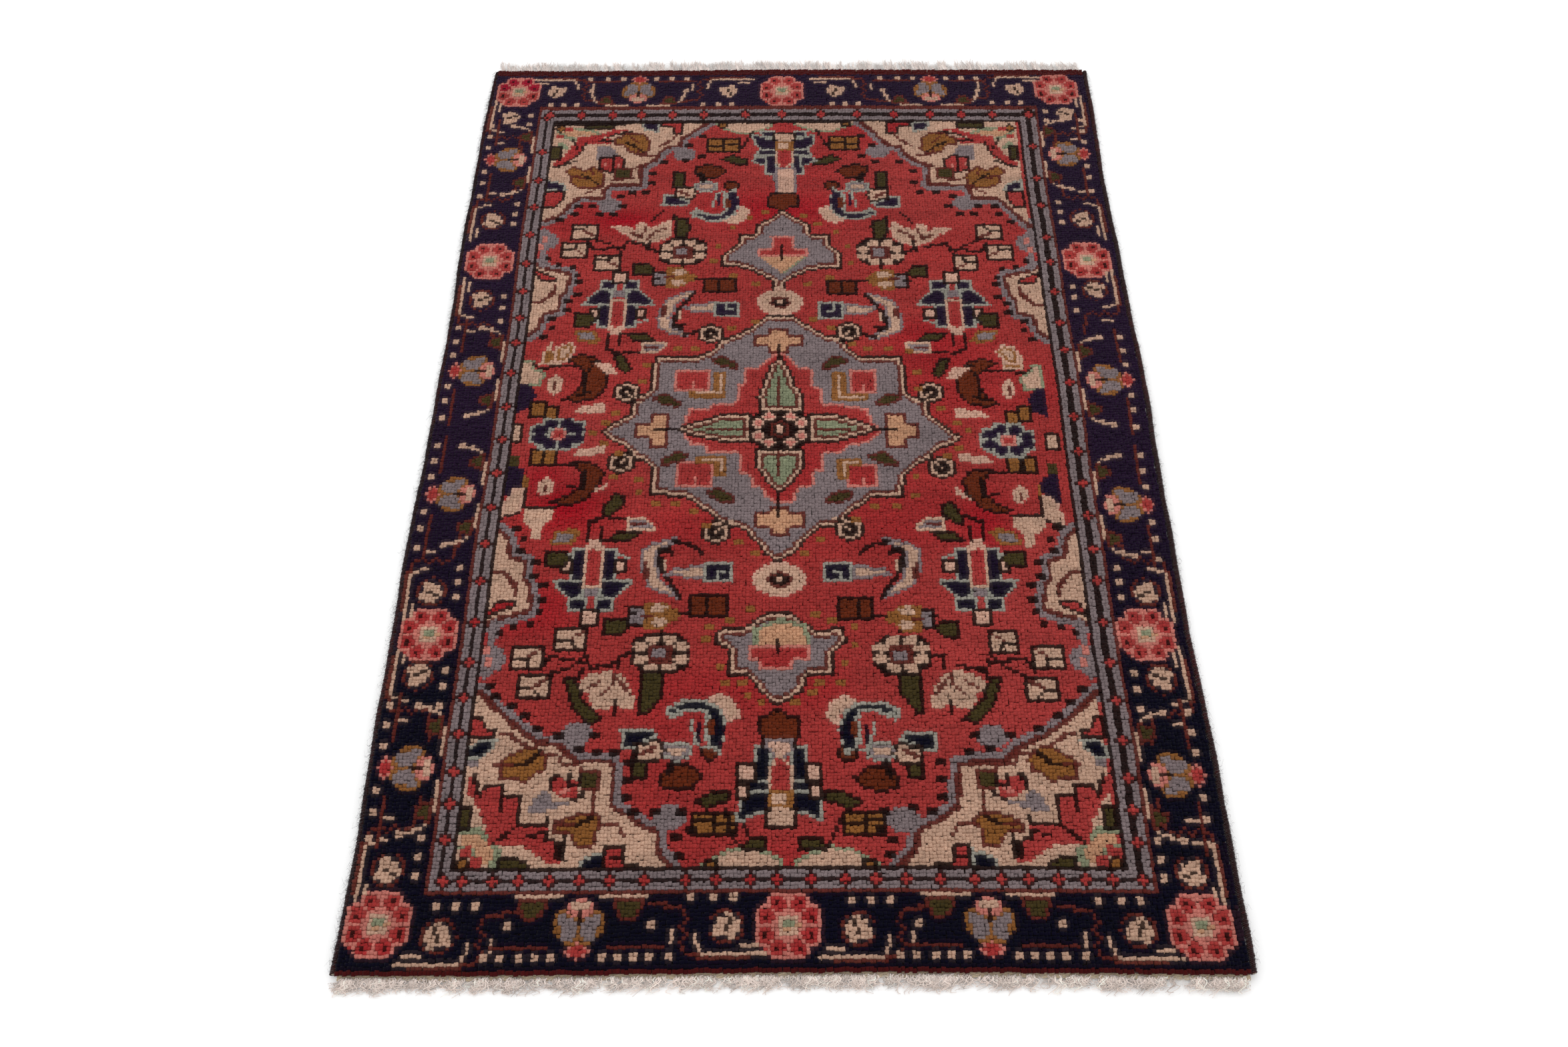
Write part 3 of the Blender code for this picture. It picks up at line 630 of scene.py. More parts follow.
def corner_branch(at):
    """What grows inside a corner: leaves, flower, branch, blocks; drawn for the near left corner."""
    oval("h", -85.4, -138.4, 3.6, 2.4, at)
    oval("h", -81, -141.6, 3.4, 2.8, at)
    lines("m", ((-88.6, -136), (-84, -135.4), (-81, -138.4), (-79, -140), (-78, -143), (-80, -145)),
          ((-88.4, -140), (-85, -141.4), (-84, -144)), wide=1.4, at=at)
    fill("r", ((-88.6, -121), (-86.6, -120), (-85, -125), (-82, -122.6), (-79, -122.6), (-78, -126),
               (-74, -126.5), (-74, -134), (-66, -134), (-65, -138), (-62.6, -140), (-61, -144.4),
               (-65, -144.4), (-69, -141.4), (-73, -139.4), (-81.4, -139), (-83, -133), (-86, -128),
               (-88.6, -125)), at)
    lines("k", ((-87, -120), (-86, -124), (-85, -126), (-84, -123), (-79, -123), (-79, -126), (-74, -126),
                (-74, -134), (-66, -134), (-66, -132)), ((-79, -127), (-79, -130)),
          ((-80, -139), (-75, -135)), ((-71, -136.6), (-66, -136), (-66, -138), (-61, -139), (-61, -137)),
          at=at)
    dots("k", ((-62, -141.6),), 3, 4, at)
    fill("kr", ((-90, -102.4), (-86.4, -102.4), (-85.4, -106.6), (-82.6, -107), (-82.6, -109.4),
                (-90, -109.4)), at)
    fill("vn", ((-90, -113), (-87.4, -109.4), (-81.4, -109.4), (-83, -112.4), (-86, -115.4), (-90, -115.4)),
         at)
    box("s", -89, -117, -86, -115.4, at)
    fill("bo", ((-82, -117), (-78, -114), (-73.4, -111.4), (-69, -112.2), (-67, -116), (-68, -119),
                (-70.6, -120), (-73, -122.6), (-76, -121), (-80.4, -121.4), (-80.4, -118.4)), at)
    lines("b", ((-80, -117), (-76, -117)), at=at)
    lines("k", ((-75.6, -117.4), (-73, -116.6), (-70, -113.4)), wide=1.2, at=at)
    fill("r", ((-65, -120.4), (-62, -120), (-62, -122), (-59, -121), (-58.6, -126), (-63, -126.5),
               (-66, -124)), at)
    dots("p", ((-62, -125.4), (-61, -124)), 2, 1, at)
    lines("k", ((-66, -124), (-66, -121), (-64, -120)), ((-61, -120), (-61, -123), (-58, -123)),
          ((-58, -120), (-57, -126), (-60, -127)), at=at)
    lines("b", ((-58, -119), (-53, -119), (-53, -124)), ((-54, -124), (-54, -131)),
          ((-57, -124), (-53, -124)), at=at)
    box("g", -57.6, -123.4, -53.6, -119.6, at)
    fill("s", ((-72, -131), (-70, -126.6), (-67, -124), (-65, -127.4), (-60, -127.6), (-64, -129.4)), at)
    fill("bo", ((-64, -133), (-60, -131.6), (-57, -130), (-52.4, -130.6), (-51, -133), (-52, -135.4),
                (-53, -140), (-57, -141), (-59, -138), (-60, -136.4), (-64.6, -136.4)), at)
    lines("b", ((-63, -134), (-58, -134)), at=at)
    lines("k", ((-58, -134), (-56, -133.4), (-54, -131.6)), wide=1.2, at=at)
    lines("b", ((-52, -134), (-47, -134), (-45, -137)), ((-81, -108), (-78, -107.6), (-77, -110),
                                                         (-74, -110.6), (-73, -112)),
          ((-68, -113.6), (-65, -114), (-63, -117), (-59, -117), (-57, -119)), at=at)
    box("kg", -90, -135.6, -86, -128.8, at)
    fill("kg", ((-78, -142), (-73, -142.4), (-66, -147), (-78, -147)), at)
    oval("r", -86.8, -141.4, 1.7, 1.7, at)
    oval("r", -84, -144, 1.7, 1.6, at)
    oval("ko", -87.6, -144.6, 2.2, 2, at)
    fill("vn", ((-57, -147), (-55.6, -142.6), (-49.6, -140.6), (-50, -147)), at)
    fill("kr", ((-50, -139.4), (-44.6, -139.4), (-44.6, -144), (-40, -144.4), (-40, -147), (-50, -147)), at)
    lines("k", ((-48, -143), (-45, -143)), at=at)


def far_corner_branch(at):
    """The same growth as the weaver drew it at the far end, thinner and more upright."""
    oval("h", -84, 136, 4, 2.4, at)
    oval("h", -77, 137, 4, 2, at)
    lines("m", ((-88, 138), (-85, 134), (-80, 133)), ((-82, 139), (-76, 138), (-72, 136)),
          ((-87, 131), (-84, 128)), wide=1.4, at=at)
    fill("r", ((-60, 138.6), (-66, 139), (-73, 135.4), (-80, 134.4), (-82, 129), (-84, 125), (-89, 119.6),
               (-87, 117.4), (-80, 123), (-77.6, 130.4), (-68, 130), (-67, 133), (-72, 133.4),
               (-66, 136.4)), at)
    lines("k", ((-60, 137), (-66, 136), (-72, 132), (-67, 132)), ((-77, 131), (-79, 125), (-86, 118)),
          ((-82, 133), (-80, 128)), ((-88, 118), (-80, 121)), at=at)
    fill("kg", ((-78, 143), (-78, 138.6), (-67, 138.6), (-66, 143)), at)
    box("kg", -90, 122, -85.6, 130, at)
    oval("ko", -87, 139, 2.2, 2, at)
    dots("r", ((-84, 139), (-87, 134.5)), 3, 2, at)
    fill("vn", ((-57, 143), (-55.6, 138), (-49.6, 136.6), (-50, 143)), at)
    fill("kr", ((-51, 143), (-49, 139.6), (-44.6, 139.6), (-44.6, 136), (-40, 136), (-40, 143)), at)
    fill("bo", ((-67, 132.6), (-63.4, 135.4), (-60, 137), (-56.4, 136.6), (-53, 133), (-52, 128),
                (-54, 124.4), (-57, 124), (-60.4, 126), (-63.4, 130), (-66.6, 130)), at)
    lines("k", ((-62, 131), (-58, 129), (-55, 126)), at=at)
    lines("b", ((-60, 134), (-57, 131)), ((-57, 127), (-56, 124)), at=at)
    fill("s", ((-73, 129.6), (-67, 129), (-64, 124), (-69, 121.4), (-72, 121)), at)
    fill("kr", ((-71, 123), (-64.6, 124.4), (-61, 122), (-61, 115), (-66, 114.4), (-71, 117)), at)
    lines("k", ((-66, 116), (-66, 124)), at=at)
    dots("p", ((-68.6, 120), (-63.6, 119)), 1, 2, at)
    box("bg", -65, 111.6, -58, 117.4, at)
    lines("b", ((-58, 117), (-54, 120)), ((-58, 112), (-66, 111)), ((-69, 108), (-75, 104)),
          ((-56, 124), (-51, 124)), ((-49, 129), (-44, 133), (-43, 136)), at=at)
    fill("bo", ((-84, 116.4), (-80, 118.6), (-76, 116), (-74, 118.6), (-70, 116.4), (-68, 112), (-69, 108),
                (-73, 106.6), (-78, 107), (-81, 109.4), (-81.6, 113)), at)
    lines("k", ((-77, 114), (-73, 111), (-71, 109)), at=at)
    lines("b", ((-80, 113), (-76, 112)), ((-74, 117), (-73, 114)), at=at)
    fill("vn", ((-90, 111.6), (-84, 109.6), (-81.4, 106), (-84, 104.6), (-90, 106)), at)
    fill("kr", ((-90, 105.4), (-82.4, 105.4), (-82.4, 101), (-85, 97), (-90, 97)), at)


CORNERS = (("corner_far_left", CORNER_FAR_LEFT, (-89, 142), ((-39.5, 124.6), (-65.6, 98)), (0, -4, 1, -1)),
           ("corner_far_right", CORNER_FAR_RIGHT, (87, 143), ((33, 126), (64, 99)), (-2, -4.4, -1, -1)),
           ("corner_near_left", CORNER_NEAR_LEFT, (-89, -146), ((-60, -108), (-33, -132)), (0, 0, 1, 1)),
           ("corner_near_right", CORNER_NEAR_RIGHT, (87, -146), ((56, -109), (30, -133)), (-2, 0, -1, 1)))
for name, outline, meeting, blobs, at in CORNERS:
    line("s", outline, 5.2)
    for u, v in blobs:
        oval("s", u, v, 4.4, 3.6)
    fill("c", outline + (meeting,))
    line("b", outline, 1.6)
    if "far" in name:
        far_corner_branch((0, 0, 1, 1) if "left" in name else (-3, 0, -1, 1))
    else:
        corner_branch(at)
    let_in(name, outline + (meeting,), "field_pile")
CORNER_DOTS = ((-33, 135), (-38, 129.5), (-33, 124), (-38.5, 121.3), (-47, 121), (-50.5, 115),
               (-50.5, 109.5), (-53, 105), (-58, 105), (-61.5, 103), (-61, 97.5), (-64, 94), (-69, 94),
               (-71.5, 97.7), (-76.5, 97.7), (-77.5, 94), (-82.5, 90.5), (27, 135), (31.5, 129.5),
               (27.5, 124), (32, 121), (41.5, 120.5), (46, 115.5), (46, 109.5), (48, 105), (54, 105),
               (60, 102.5), (58, 97.5), (62, 93.5), (67.5, 93.5), (69.5, 98), (75, 98), (76, 93.5),
               (80, 90), (-86, -93), (-83.6, -96), (-79, -99.5), (-75.4, -102.6), (-71.4, -106),
               (-65, -108.5), (-54.5, -108), (-58.5, -112.5), (-54, -113), (-49, -113), (-45, -116.5),
               (-45, -121.5), (-45, -126.5), (-43, -130), (-37, -130), (-30, -130), (-27, -135),
               (-31, -137.5), (-30, -142.5), (83, -94), (79, -98), (75, -102), (69, -106), (61, -108.5),
               (51, -108), (55, -112.5), (49, -113), (41, -116.5), (41, -121.5), (41, -126.5), (38, -130),
               (33, -129.5), (25, -130.5), (24, -135), (27, -138), (26, -142.5))
dots("k", CORNER_DOTS, 3, 2)

# ---------------------------------------------------------------------------------------------
# Side brackets: four half-shields of cream on the long sides of the field, edged like the
# corners, each with a red sail; a slate strip runs from them to the corners. Wool knots.
BRACKET = ((-89, -41), (-86, -45), (-85, -51), (-80, -52), (-80, -58), (-78, -61), (-77, -69), (-82, -70.6),
           (-87, -72), (-90, -74))


def side_bracket(at):
    line("s", BRACKET, 5.4, at)
    fill("c", BRACKET, at)
    line("b", BRACKET, 1.4, at)
    lines("b", ((-90, -56), (-86, -56), (-84, -59), (-82, -61), (-82, -64)), wide=1.4, at=at)
    fill("kr", ((-90, -70), (-87.6, -65.6), (-81.6, -65), (-82, -67.4), (-85, -69.4), (-90, -72)), at)
    lines("s", ((-87, -73), (-88, -90)), wide=2.6, at=at)
    oval("s", -87.4, -85, 4.6, 4.6, at)
    dots("p", ((-87, -86), (-88, -82)), 2, 3, at)
    dots("k", ((-84, -40.6), (-81.6, -44.6), (-82, -48.6), (-77, -52.4), (-77, -57), (-74, -60),
               (-74, -65.4), (-74.6, -69), (-76.6, -73), (-81.4, -74), (-85.4, -76.4)), 2.6, 2, at)


for name, at in (("side_bracket_near_left", HERE), ("side_bracket_near_right", (-2, 0, -1, 1)),
                 ("side_bracket_far_left", (0, -5, 1, -1)), ("side_bracket_far_right", (-2, -6, -1, -1))):
    side_bracket(at)
    let_in(name, placed(BRACKET, at), "field_pile")

# ---------------------------------------------------------------------------------------------
# Pendants: two stepped slate drops on the long axis, beyond and before the medallion, with a
# red club inside and a cream roundel between them and the medallion. Wool knots.
PENDANT_FAR = ((-2.5, 95.6), (-7, 91.5), (-12.5, 88), (-12.5, 84), (-18.5, 83.5), (-19, 78), (-22, 75.5),
               (-24.4, 73), (-24, 67.4), (-17, 67), (-14, 66), (-9, 62.5), (-6, 60.5), (-6, 57), (-1, 57),
               (-1, 60), (1, 62), (6, 65), (11, 66.5), (18.4, 67), (18.8, 73), (17.5, 75), (15, 78),
               (14, 83.5), (7.5, 84), (7, 88.5), (2, 92))
PENDANT_NEAR = ((-6, -69), (-10, -71.6), (-14, -74.6), (-20, -75), (-22.4, -77), (-22.4, -80), (-18, -82.4),
                (-18, -90), (-12, -91), (-9, -95.6), (-4.3, -100), (3, -95.6), (5, -90.6), (13, -90),
                (13, -82.4), (16.4, -80), (15.6, -74.6), (7, -75.4), (3, -72.4), (-1, -69))
fill("kcbss", PENDANT_FAR)
let_in("pendant_far", PENDANT_FAR)
fill("m", ((-12, 73.4), (7, 73.4), (-2.6, 63.6)))
fill("h", ((-10.6, 72.6), (5.6, 72.6), (-2.6, 64.6)))
fill("pr", ((-11.6, 73), (6.6, 73), (6.6, 76.6), (1.6, 77), (2, 82), (-1, 83), (-4, 83), (-7, 82),
            (-6.6, 77), (-11.6, 76.6)))
lines("k", ((-2.6, 71), (-2.6, 78)))
fill("kcbss", PENDANT_NEAR)
let_in("pendant_near", PENDANT_NEAR)
fill("m", ((-11.6, -82), (-11, -75), (-3.4, -71.4), (4.6, -74), (6, -82)))
fill("h", ((-10, -81), (-9.6, -75.6), (-3.4, -73), (3.6, -75), (4.6, -81)))
fill("pr", ((-12.6, -80.6), (6, -80.6), (6, -85), (0.6, -85.6), (0, -88.6), (-9, -88.6), (-9, -85.6),
            (-12.6, -85)))
lines("k", ((-4, -79), (-4, -83)))


def roundel(across, along):
    oval("ic", across, along, 8, 6)
    oval("bk", across, along, 3.6, 2.7)
    oval("c", across, along, 1.2, 0.9)


roundel(-3.5, 51.2)
roundel(-3.5, -58.6)
PENDANT_STONES = ((-9, 95), (-14.6, 91.4), (-20.4, 86.4), (-25.6, 78), (-27, 71), (-20, 64), (-12, 60),
                  (5, 93), (10, 88.6), (16.6, 85), (20.4, 78), (21.6, 70), (14, 63), (6, 59.6), (-19, -92),
                  (-14, -92), (-12.6, -96), (-8.6, -98.8), (1.2, -98.4), (6, -95.4), (8, -92), (14, -92.6),
                  (-25, -78), (-24, -74), (-18, -72), (-12, -68.6), (7, -70.6), (12, -72), (18.6, -74),
                  (18.6, -80.6), (15.6, -86), (-20.4, -87))
dots("o", PENDANT_STONES, 2.6, 2)

# ---------------------------------------------------------------------------------------------
# Medallion: the stepped slate diamond in the middle of the field, edged black, cream and
# brown, with cream hooks on its steps and red squares, leaves and ochre angles inside. Wool.
MEDALLION = ((-8.5, 45), (-13, 40.6), (-18, 37), (-24, 34.6), (-25.4, 31), (-30, 28), (-45.6, 27.6),
             (-46.6, 20), (-46.6, 12.6), (-50, 11), (-52.6, 9), (-52.6, 3), (-58, -0.6), (-61.6, -4),
             (-57, -8.4), (-52.6, -10.6), (-51.4, -14.4), (-47.4, -15.4), (-44.6, -18.4), (-44.6, -28.4),
             (-34, -29.4), (-30, -31.4), (-24.4, -36.4), (-22, -39.4), (-14.4, -41.4), (-11, -45.4),
             (-8, -50), (-3.6, -53), (1, -49.4), (4.4, -45.4), (8.4, -40.6), (15.4, -40.4), (17.4, -36.6),
             (20.6, -33.4), (25.4, -29.4), (35.4, -30), (36.4, -20.6), (41.4, -16.4), (45.4, -15.4),
             (46.4, -11.4), (50.4, -10.4), (55.6, -6), (50.4, -2), (45.6, 2.4), (45.6, 8.4), (40.4, 10.4),
             (38.6, 12.4), (38.4, 20), (37.4, 27.6), (23.4, 27.6), (19.6, 30.4), (17.6, 36.6), (11.4, 37),
             (5.4, 41.6), (1, 45.4))
fill("kcbss", MEDALLION)
let_in("medallion_pile", MEDALLION)


def cream_hook(at):
    oval("kckk", 0, 0, 4.8, 4.2, at)
    lines("c", ((0, 0), (1, -1)), at=at)
    lines("k", ((3, -4), (4, -1)), at=at)
    lines("c", ((4, -4), (5, -4)), at=at)


for at in ((-27, 37, 1, 1), (-54, 11.5, 1, 1), (-54, -16, 1, -1), (-23.4, -42, 1, -1), (19.5, 38, -1, 1),
           (46.4, 12, -1, 1), (48, -18, -1, -1), (18, -41, -1, -1)):
    cream_hook((round(at[0]), round(at[1]), at[2], at[3]))
for left, low, right, high in ((-38, 13, -26, 21.6), (20, 12, 28.5, 21.6), (-36.6, -25.4, -24, -15.4),
                               (17.6, -25.4, 27.6, -16.6)):
    box("pr", left, low, right, high)
    lines("p", (((left + right) / 2, low), ((left + right) / 2, low + 3)))
for tall, flat in (((-25, 10, -21, 20.6), (-33, 10, -21, 13)), ((14, 9, 18.6, 20.6), (14, 9, 26, 12)),
                   ((-24, -21.4, -20, -13.4), (-30, -16.6, -20, -13.4)),
                   ((14.6, -22.6, 18.6, -14.6), (14.6, -17, 22.6, -14.6))):
    box("o", *tall)
    box("o", *flat)
    lines("c", ((tall[0] + 2, tall[1] + 2), (tall[0] + 2, tall[3] - 2)))
    lines("c", ((flat[0] + 2, (flat[1] + flat[3]) / 2), (flat[2] - 2, (flat[1] + flat[3]) / 2)))
for across, along, sway in ((-22, 24.5, 1), (-40.5, 8.6, 1), (14.6, 24.5, -1), (32, 9, -1), (-37, -14.5, -1),
                            (-22, -28.6, 1), (15.4, -29, -1), (29.6, -14.6, 1)):
    fill("bg", ((-4.6, 2.2), (0, 3), (4.6, -0.6), (4.4, -2.8), (0, -2.4), (-4.6, 0)),
         (across, along, sway, 1))


def trefoil(at):
    fill("bh", ((-3.2, -6), (3.2, -6), (3.2, -3.4), (8.4, -3.2), (8.4, 2.2), (3.4, 2.6), (3.4, 5.4),
                (-3.4, 5.4), (-3.4, 2.6), (-8.4, 2.2), (-8.4, -3.2), (-3.2, -3.4)), at)


trefoil((-4, 34.4, 1, 1))
trefoil((-3.5, -38, 1, -1))
for across, flip in ((-42.6, -1), (34.6, 1)):
    fill("bh", ((-3.6, 6.4), (3, 6.4), (3, 2.6), (7.4, 2.4), (7.4, -3.4), (3, -3.6), (3, -7.4),
                (-3.6, -7.4)), (across, -2.6, flip, 1))
MEDALLION_STONES = ((-12, 43), (-20, 40), (-32, 30.6), (-38, 30.6), (-48, 24), (-49, 17), (-57, 4),
                    (-60, 0), (-64, -4), (-60, -8), (-55, -12), (-56, -21), (-48, -22), (-47.6, -27),
                    (-42, -31), (-36, -31), (-30, -34.6), (-26, -39), (-16, -45), (-11, -49), (4, -49.6),
                    (9, -44), (20, -37), (26, -32.6), (33, -32.6), (39, -28), (39.4, -21), (50, -13.4),
                    (54, -10), (57.6, -3), (54, 0), (49, 6), (42, 14), (42, 21), (40, 30), (33, 30.6),
                    (26, 30.6), (21, 33), (14, 40), (8, 43.4))
dots("o", MEDALLION_STONES, 2.6, 2)

# ---------------------------------------------------------------------------------------------
# Lozenge: the red stepped diamond in the middle of the medallion, with a pink outline. Wool
# knots let into the medallion's slate.
LOZENGE = ((-36, -3), (-33, 5), (-26, 6), (-25, 8), (-18, 8), (-17.5, 15), (-15, 16), (-15, 22), (-10, 23),
           (-6, 28), (-3.5, 29), (-1, 28), (3, 22.5), (7, 22), (7.5, 15), (10, 14), (10.5, 8), (18, 7),
           (25, 5.5), (27, 0), (30, -3), (26, -8), (19, -10), (17, -12), (11, -13), (10.5, -19), (7.5, -20),
           (7, -25), (3, -26), (2, -28), (1, -31), (-5, -31), (-8, -29), (-9, -26), (-12.5, -25),
           (-13, -21), (-16, -20), (-17, -12.5), (-27, -12), (-28, -9.5), (-32, -9))
fill("pr", LOZENGE)
let_in("medallion_lozenge", LOZENGE)

# ---------------------------------------------------------------------------------------------
# Star: four long petals from the middle to the tips of the lozenge, black, cream and brown
# rings round a mint core, with black stems that run on from the tips. Wool knots.
for petal in (((-10, 4), (-11, 10), (-9, 17), (-7, 23), (-3.5, 28), (0, 22), (2, 15), (5, 10), (4.6, 4)),
              ((-12, 3.5), (-22, 3.4), (-31, 0), (-38, -3), (-31, -6), (-22, -8.4), (-12, -9)),
              ((6, 3.5), (14, 3.4), (23, 0.4), (29, -3), (22, -6), (14, -8.5), (6, -9)),
              ((-11, -10), (-11, -18), (-8, -23), (-3.5, -28), (2, -22), (5, -17), (5, -10))):
    fill("kcbm", petal)
    let_in("medallion_star", petal)
lines("k", ((-4, 26), (-4, 32)), ((-38, -3), (-44, -3)), ((28, -3), (34, -3)), ((-4, -27), (-4, -36)))
lines("b", ((-4, 6), (-4, 18)), ((-27, -3), (-14, -3)), ((8, -3), (19, -3)), ((-4, -21), (-4, -11)))

# ---------------------------------------------------------------------------------------------
# Heart: the round flower in the very middle, eight pale pink petals on a black ground round a
# peach eye. Wool knots, flush with the star.
HEART = ((-9, 5), (2, 5), (6, 2), (6, -8), (2, -11), (-9, -11), (-13, -8), (-13, 2))
fill("k", HEART)
let_in("medallion_heart", HEART)
for across, along in ((-7, 2.4), (0, 2.4), (-10.4, -0.6), (-10.4, -5.4), (3.4, -0.6), (3.4, -5.4),
                      (-7, -8.4), (0, -8.4)):
    oval("ip", across, along, 2.1, 1.8)
oval("bkih", -3.5, -3, 3.4, 3.2)

# ---------------------------------------------------------------------------------------------
# End bands: plain dark red knots beyond the border, two or three rows at the far end and one at
# the near end, where the pile has worn back to the cotton.
FAR_BAND_EDGE = 169.6
NEAR_BAND_EDGE = -170.6
GUARDS_OUTER_EDGE = 152.5
cartoon[row > FAR_BAND_EDGE] = "e"
cartoon[row < NEAR_BAND_EDGE - 0.8] = "e"
piece_of[row > FAR_BAND_EDGE] = "end_band_far"
piece_of[row < NEAR_BAND_EDGE] = "end_band_near"
# what a field motif laid over the guards and the border's sides is taken off again
cartoon = np.where(knots_inside(FIELD) | (abs(row) > GUARDS_OUTER_EDGE), cartoon, guarded_ground)

# ---------------------------------------------------------------------------------------------
# The dyes: what each letter of the cartoon stands for, with the drift of colour from one dye
# lot to the next. The navy is painted lighter in the far half as painted light, and some madder lots came out
# crimson.
DYES = {"n": (13, 9, 27), "r": (145, 50, 48), "p": (176, 106, 96), "c": (174, 140, 120),
        "s": (115, 102, 103), "k": (30, 14, 12), "b": (84, 36, 31), "w": (90, 39, 21), "o": (124, 80, 42),
        "g": (60, 51, 28), "m": (118, 122, 98), "v": (136, 132, 122), "h": (172, 128, 100),
        "i": (180, 142, 124), "e": (66, 20, 20), "x": (136, 16, 40)}
FAR_NAVY_PAINTED_LIGHTER = (34, 20, 40)
CRIMSON = (142, 16, 30)
PALE_MADDER = (160, 74, 70)
NAVY_TURNS_AT = -95
NAVY_TURNS_OVER = 80
BLOTCH_DEPTH = 0.10
STREAK_DEPTH = 0.08
SPECKLE_DEPTH = 0.08
NEIGHBOUR_SHARE = 0.12
CRIMSON_LOTS = ((-70, -32, 14, 12), (-78, -22, 9, 9), (-2, 96, 26, 9), (-60, 90, 14, 6), (60, -40, 9, 12))
chance = np.random.default_rng(41)


def linear(colour):
    """A colour of 0 to 255 as the renderer's light."""
    return (np.array(colour, float) / 255) ** 2.2


def drift(knots_across, knots_along):
    """A smooth field from -1 to 1 that changes over about so many knots."""
    rows = int(KNOTS_ALONG / knots_along) + 3
    columns = int(KNOTS_ACROSS / knots_across) + 3
    coarse = chance.uniform(-1, 1, (rows, columns))
    at_row = np.arange(KNOTS_ALONG) / knots_along
    at_column = np.arange(KNOTS_ACROSS) / knots_across
    low_row, low_column = at_row.astype(int), at_column.astype(int)
    part_row = (0.5 - 0.5 * np.cos(np.pi * (at_row - low_row)))[:, None]
    part_column = (0.5 - 0.5 * np.cos(np.pi * (at_column - low_column)))[None, :]
    here, beyond = coarse[low_row], coarse[low_row + 1]
    near = here[:, low_column] * (1 - part_column) + here[:, low_column + 1] * part_column
    far = beyond[:, low_column] * (1 - part_column) + beyond[:, low_column + 1] * part_column
    return near * (1 - part_row) + far * part_row


wool_colour = np.zeros(cartoon.shape + (3,))
for letter, colour in DYES.items():
    wool_colour[cartoon == letter] = linear(colour)
# painted light: navy knots are painted lighter toward the far end, where the far pile catches more light
far_painted_lightening = np.clip((row - NAVY_TURNS_AT) / NAVY_TURNS_OVER, 0, 1)[..., None]
navy = (cartoon == "n")[..., None]
wool_colour = np.where(navy, wool_colour * (1 - far_painted_lightening) + linear(FAR_NAVY_PAINTED_LIGHTER) * far_painted_lightening, wool_colour)
crimson_lots = np.clip(drift(40, 26) * 1.5 - 0.55, 0, 1) * 0.7
for u, v, reach_u, reach_v in CRIMSON_LOTS:
    crimson_lots = np.maximum(crimson_lots,
                              np.exp(-((column - u) / reach_u) ** 2 - ((row - v) / reach_v) ** 2))
crimson_lots = (crimson_lots * (cartoon == "r"))[..., None]
wool_colour = wool_colour * (1 - crimson_lots) + linear(CRIMSON) * crimson_lots
pale_lots = (np.clip(drift(60, 40), 0, 1) * 0.22 * (cartoon == "r"))[..., None]
wool_colour = wool_colour * (1 - pale_lots) + linear(PALE_MADDER) * pale_lots
streaks = STREAK_DEPTH * np.repeat(chance.uniform(-1, 1, (KNOTS_ALONG, 1)), KNOTS_ACROSS, axis=1)
shade = 1 + BLOTCH_DEPTH * drift(18, 5) + streaks + chance.normal(0, SPECKLE_DEPTH, cartoon.shape)
wool_colour *= shade[..., None]
neighbours = (np.roll(wool_colour, 1, 0) + np.roll(wool_colour, -1, 0)
              + np.roll(wool_colour, 1, 1) + np.roll(wool_colour, -1, 1)) / 4
wool_colour = np.clip((1 - NEIGHBOUR_SHARE) * wool_colour + NEIGHBOUR_SHARE * neighbours, 0.001, 1)

# ---------------------------------------------------------------------------------------------
# Pile tufts: each knot stands up as one clipped tuft of wool, a little wider at the tip, that
# leans to the near end and the left as the whole pile does. One piece for each inlaid motif.
PILE_WIDTH = 0.984
PILE_LENGTH = 1.500
KNOT_PITCH_ACROSS = PILE_WIDTH / KNOTS_ACROSS
KNOT_PITCH_ALONG = PILE_LENGTH / KNOTS_ALONG
GROUND_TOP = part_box("ground_weave")[1].z
PILE_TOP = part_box("field_pile")[1].z
NAP_TO_NEAR = 0.34
NAP_TO_LEFT = 0.20
TUFT_SHARE_ACROSS = 1.02
TUFT_SHARE_ALONG = 0.96
TUFT_RISE = (PILE_TOP - GROUND_TOP) * 1.06
TUFT_SUNK = 0.0004
LEAN_SPREAD = 0.16
SPIN_SPREAD = 0.12
SIZE_SPREAD = 0.05
SCATTER_ACROSS = 0.00022
SCATTER_ALONG = 0.00020
FIELD_MIDDLE_HALF = 30


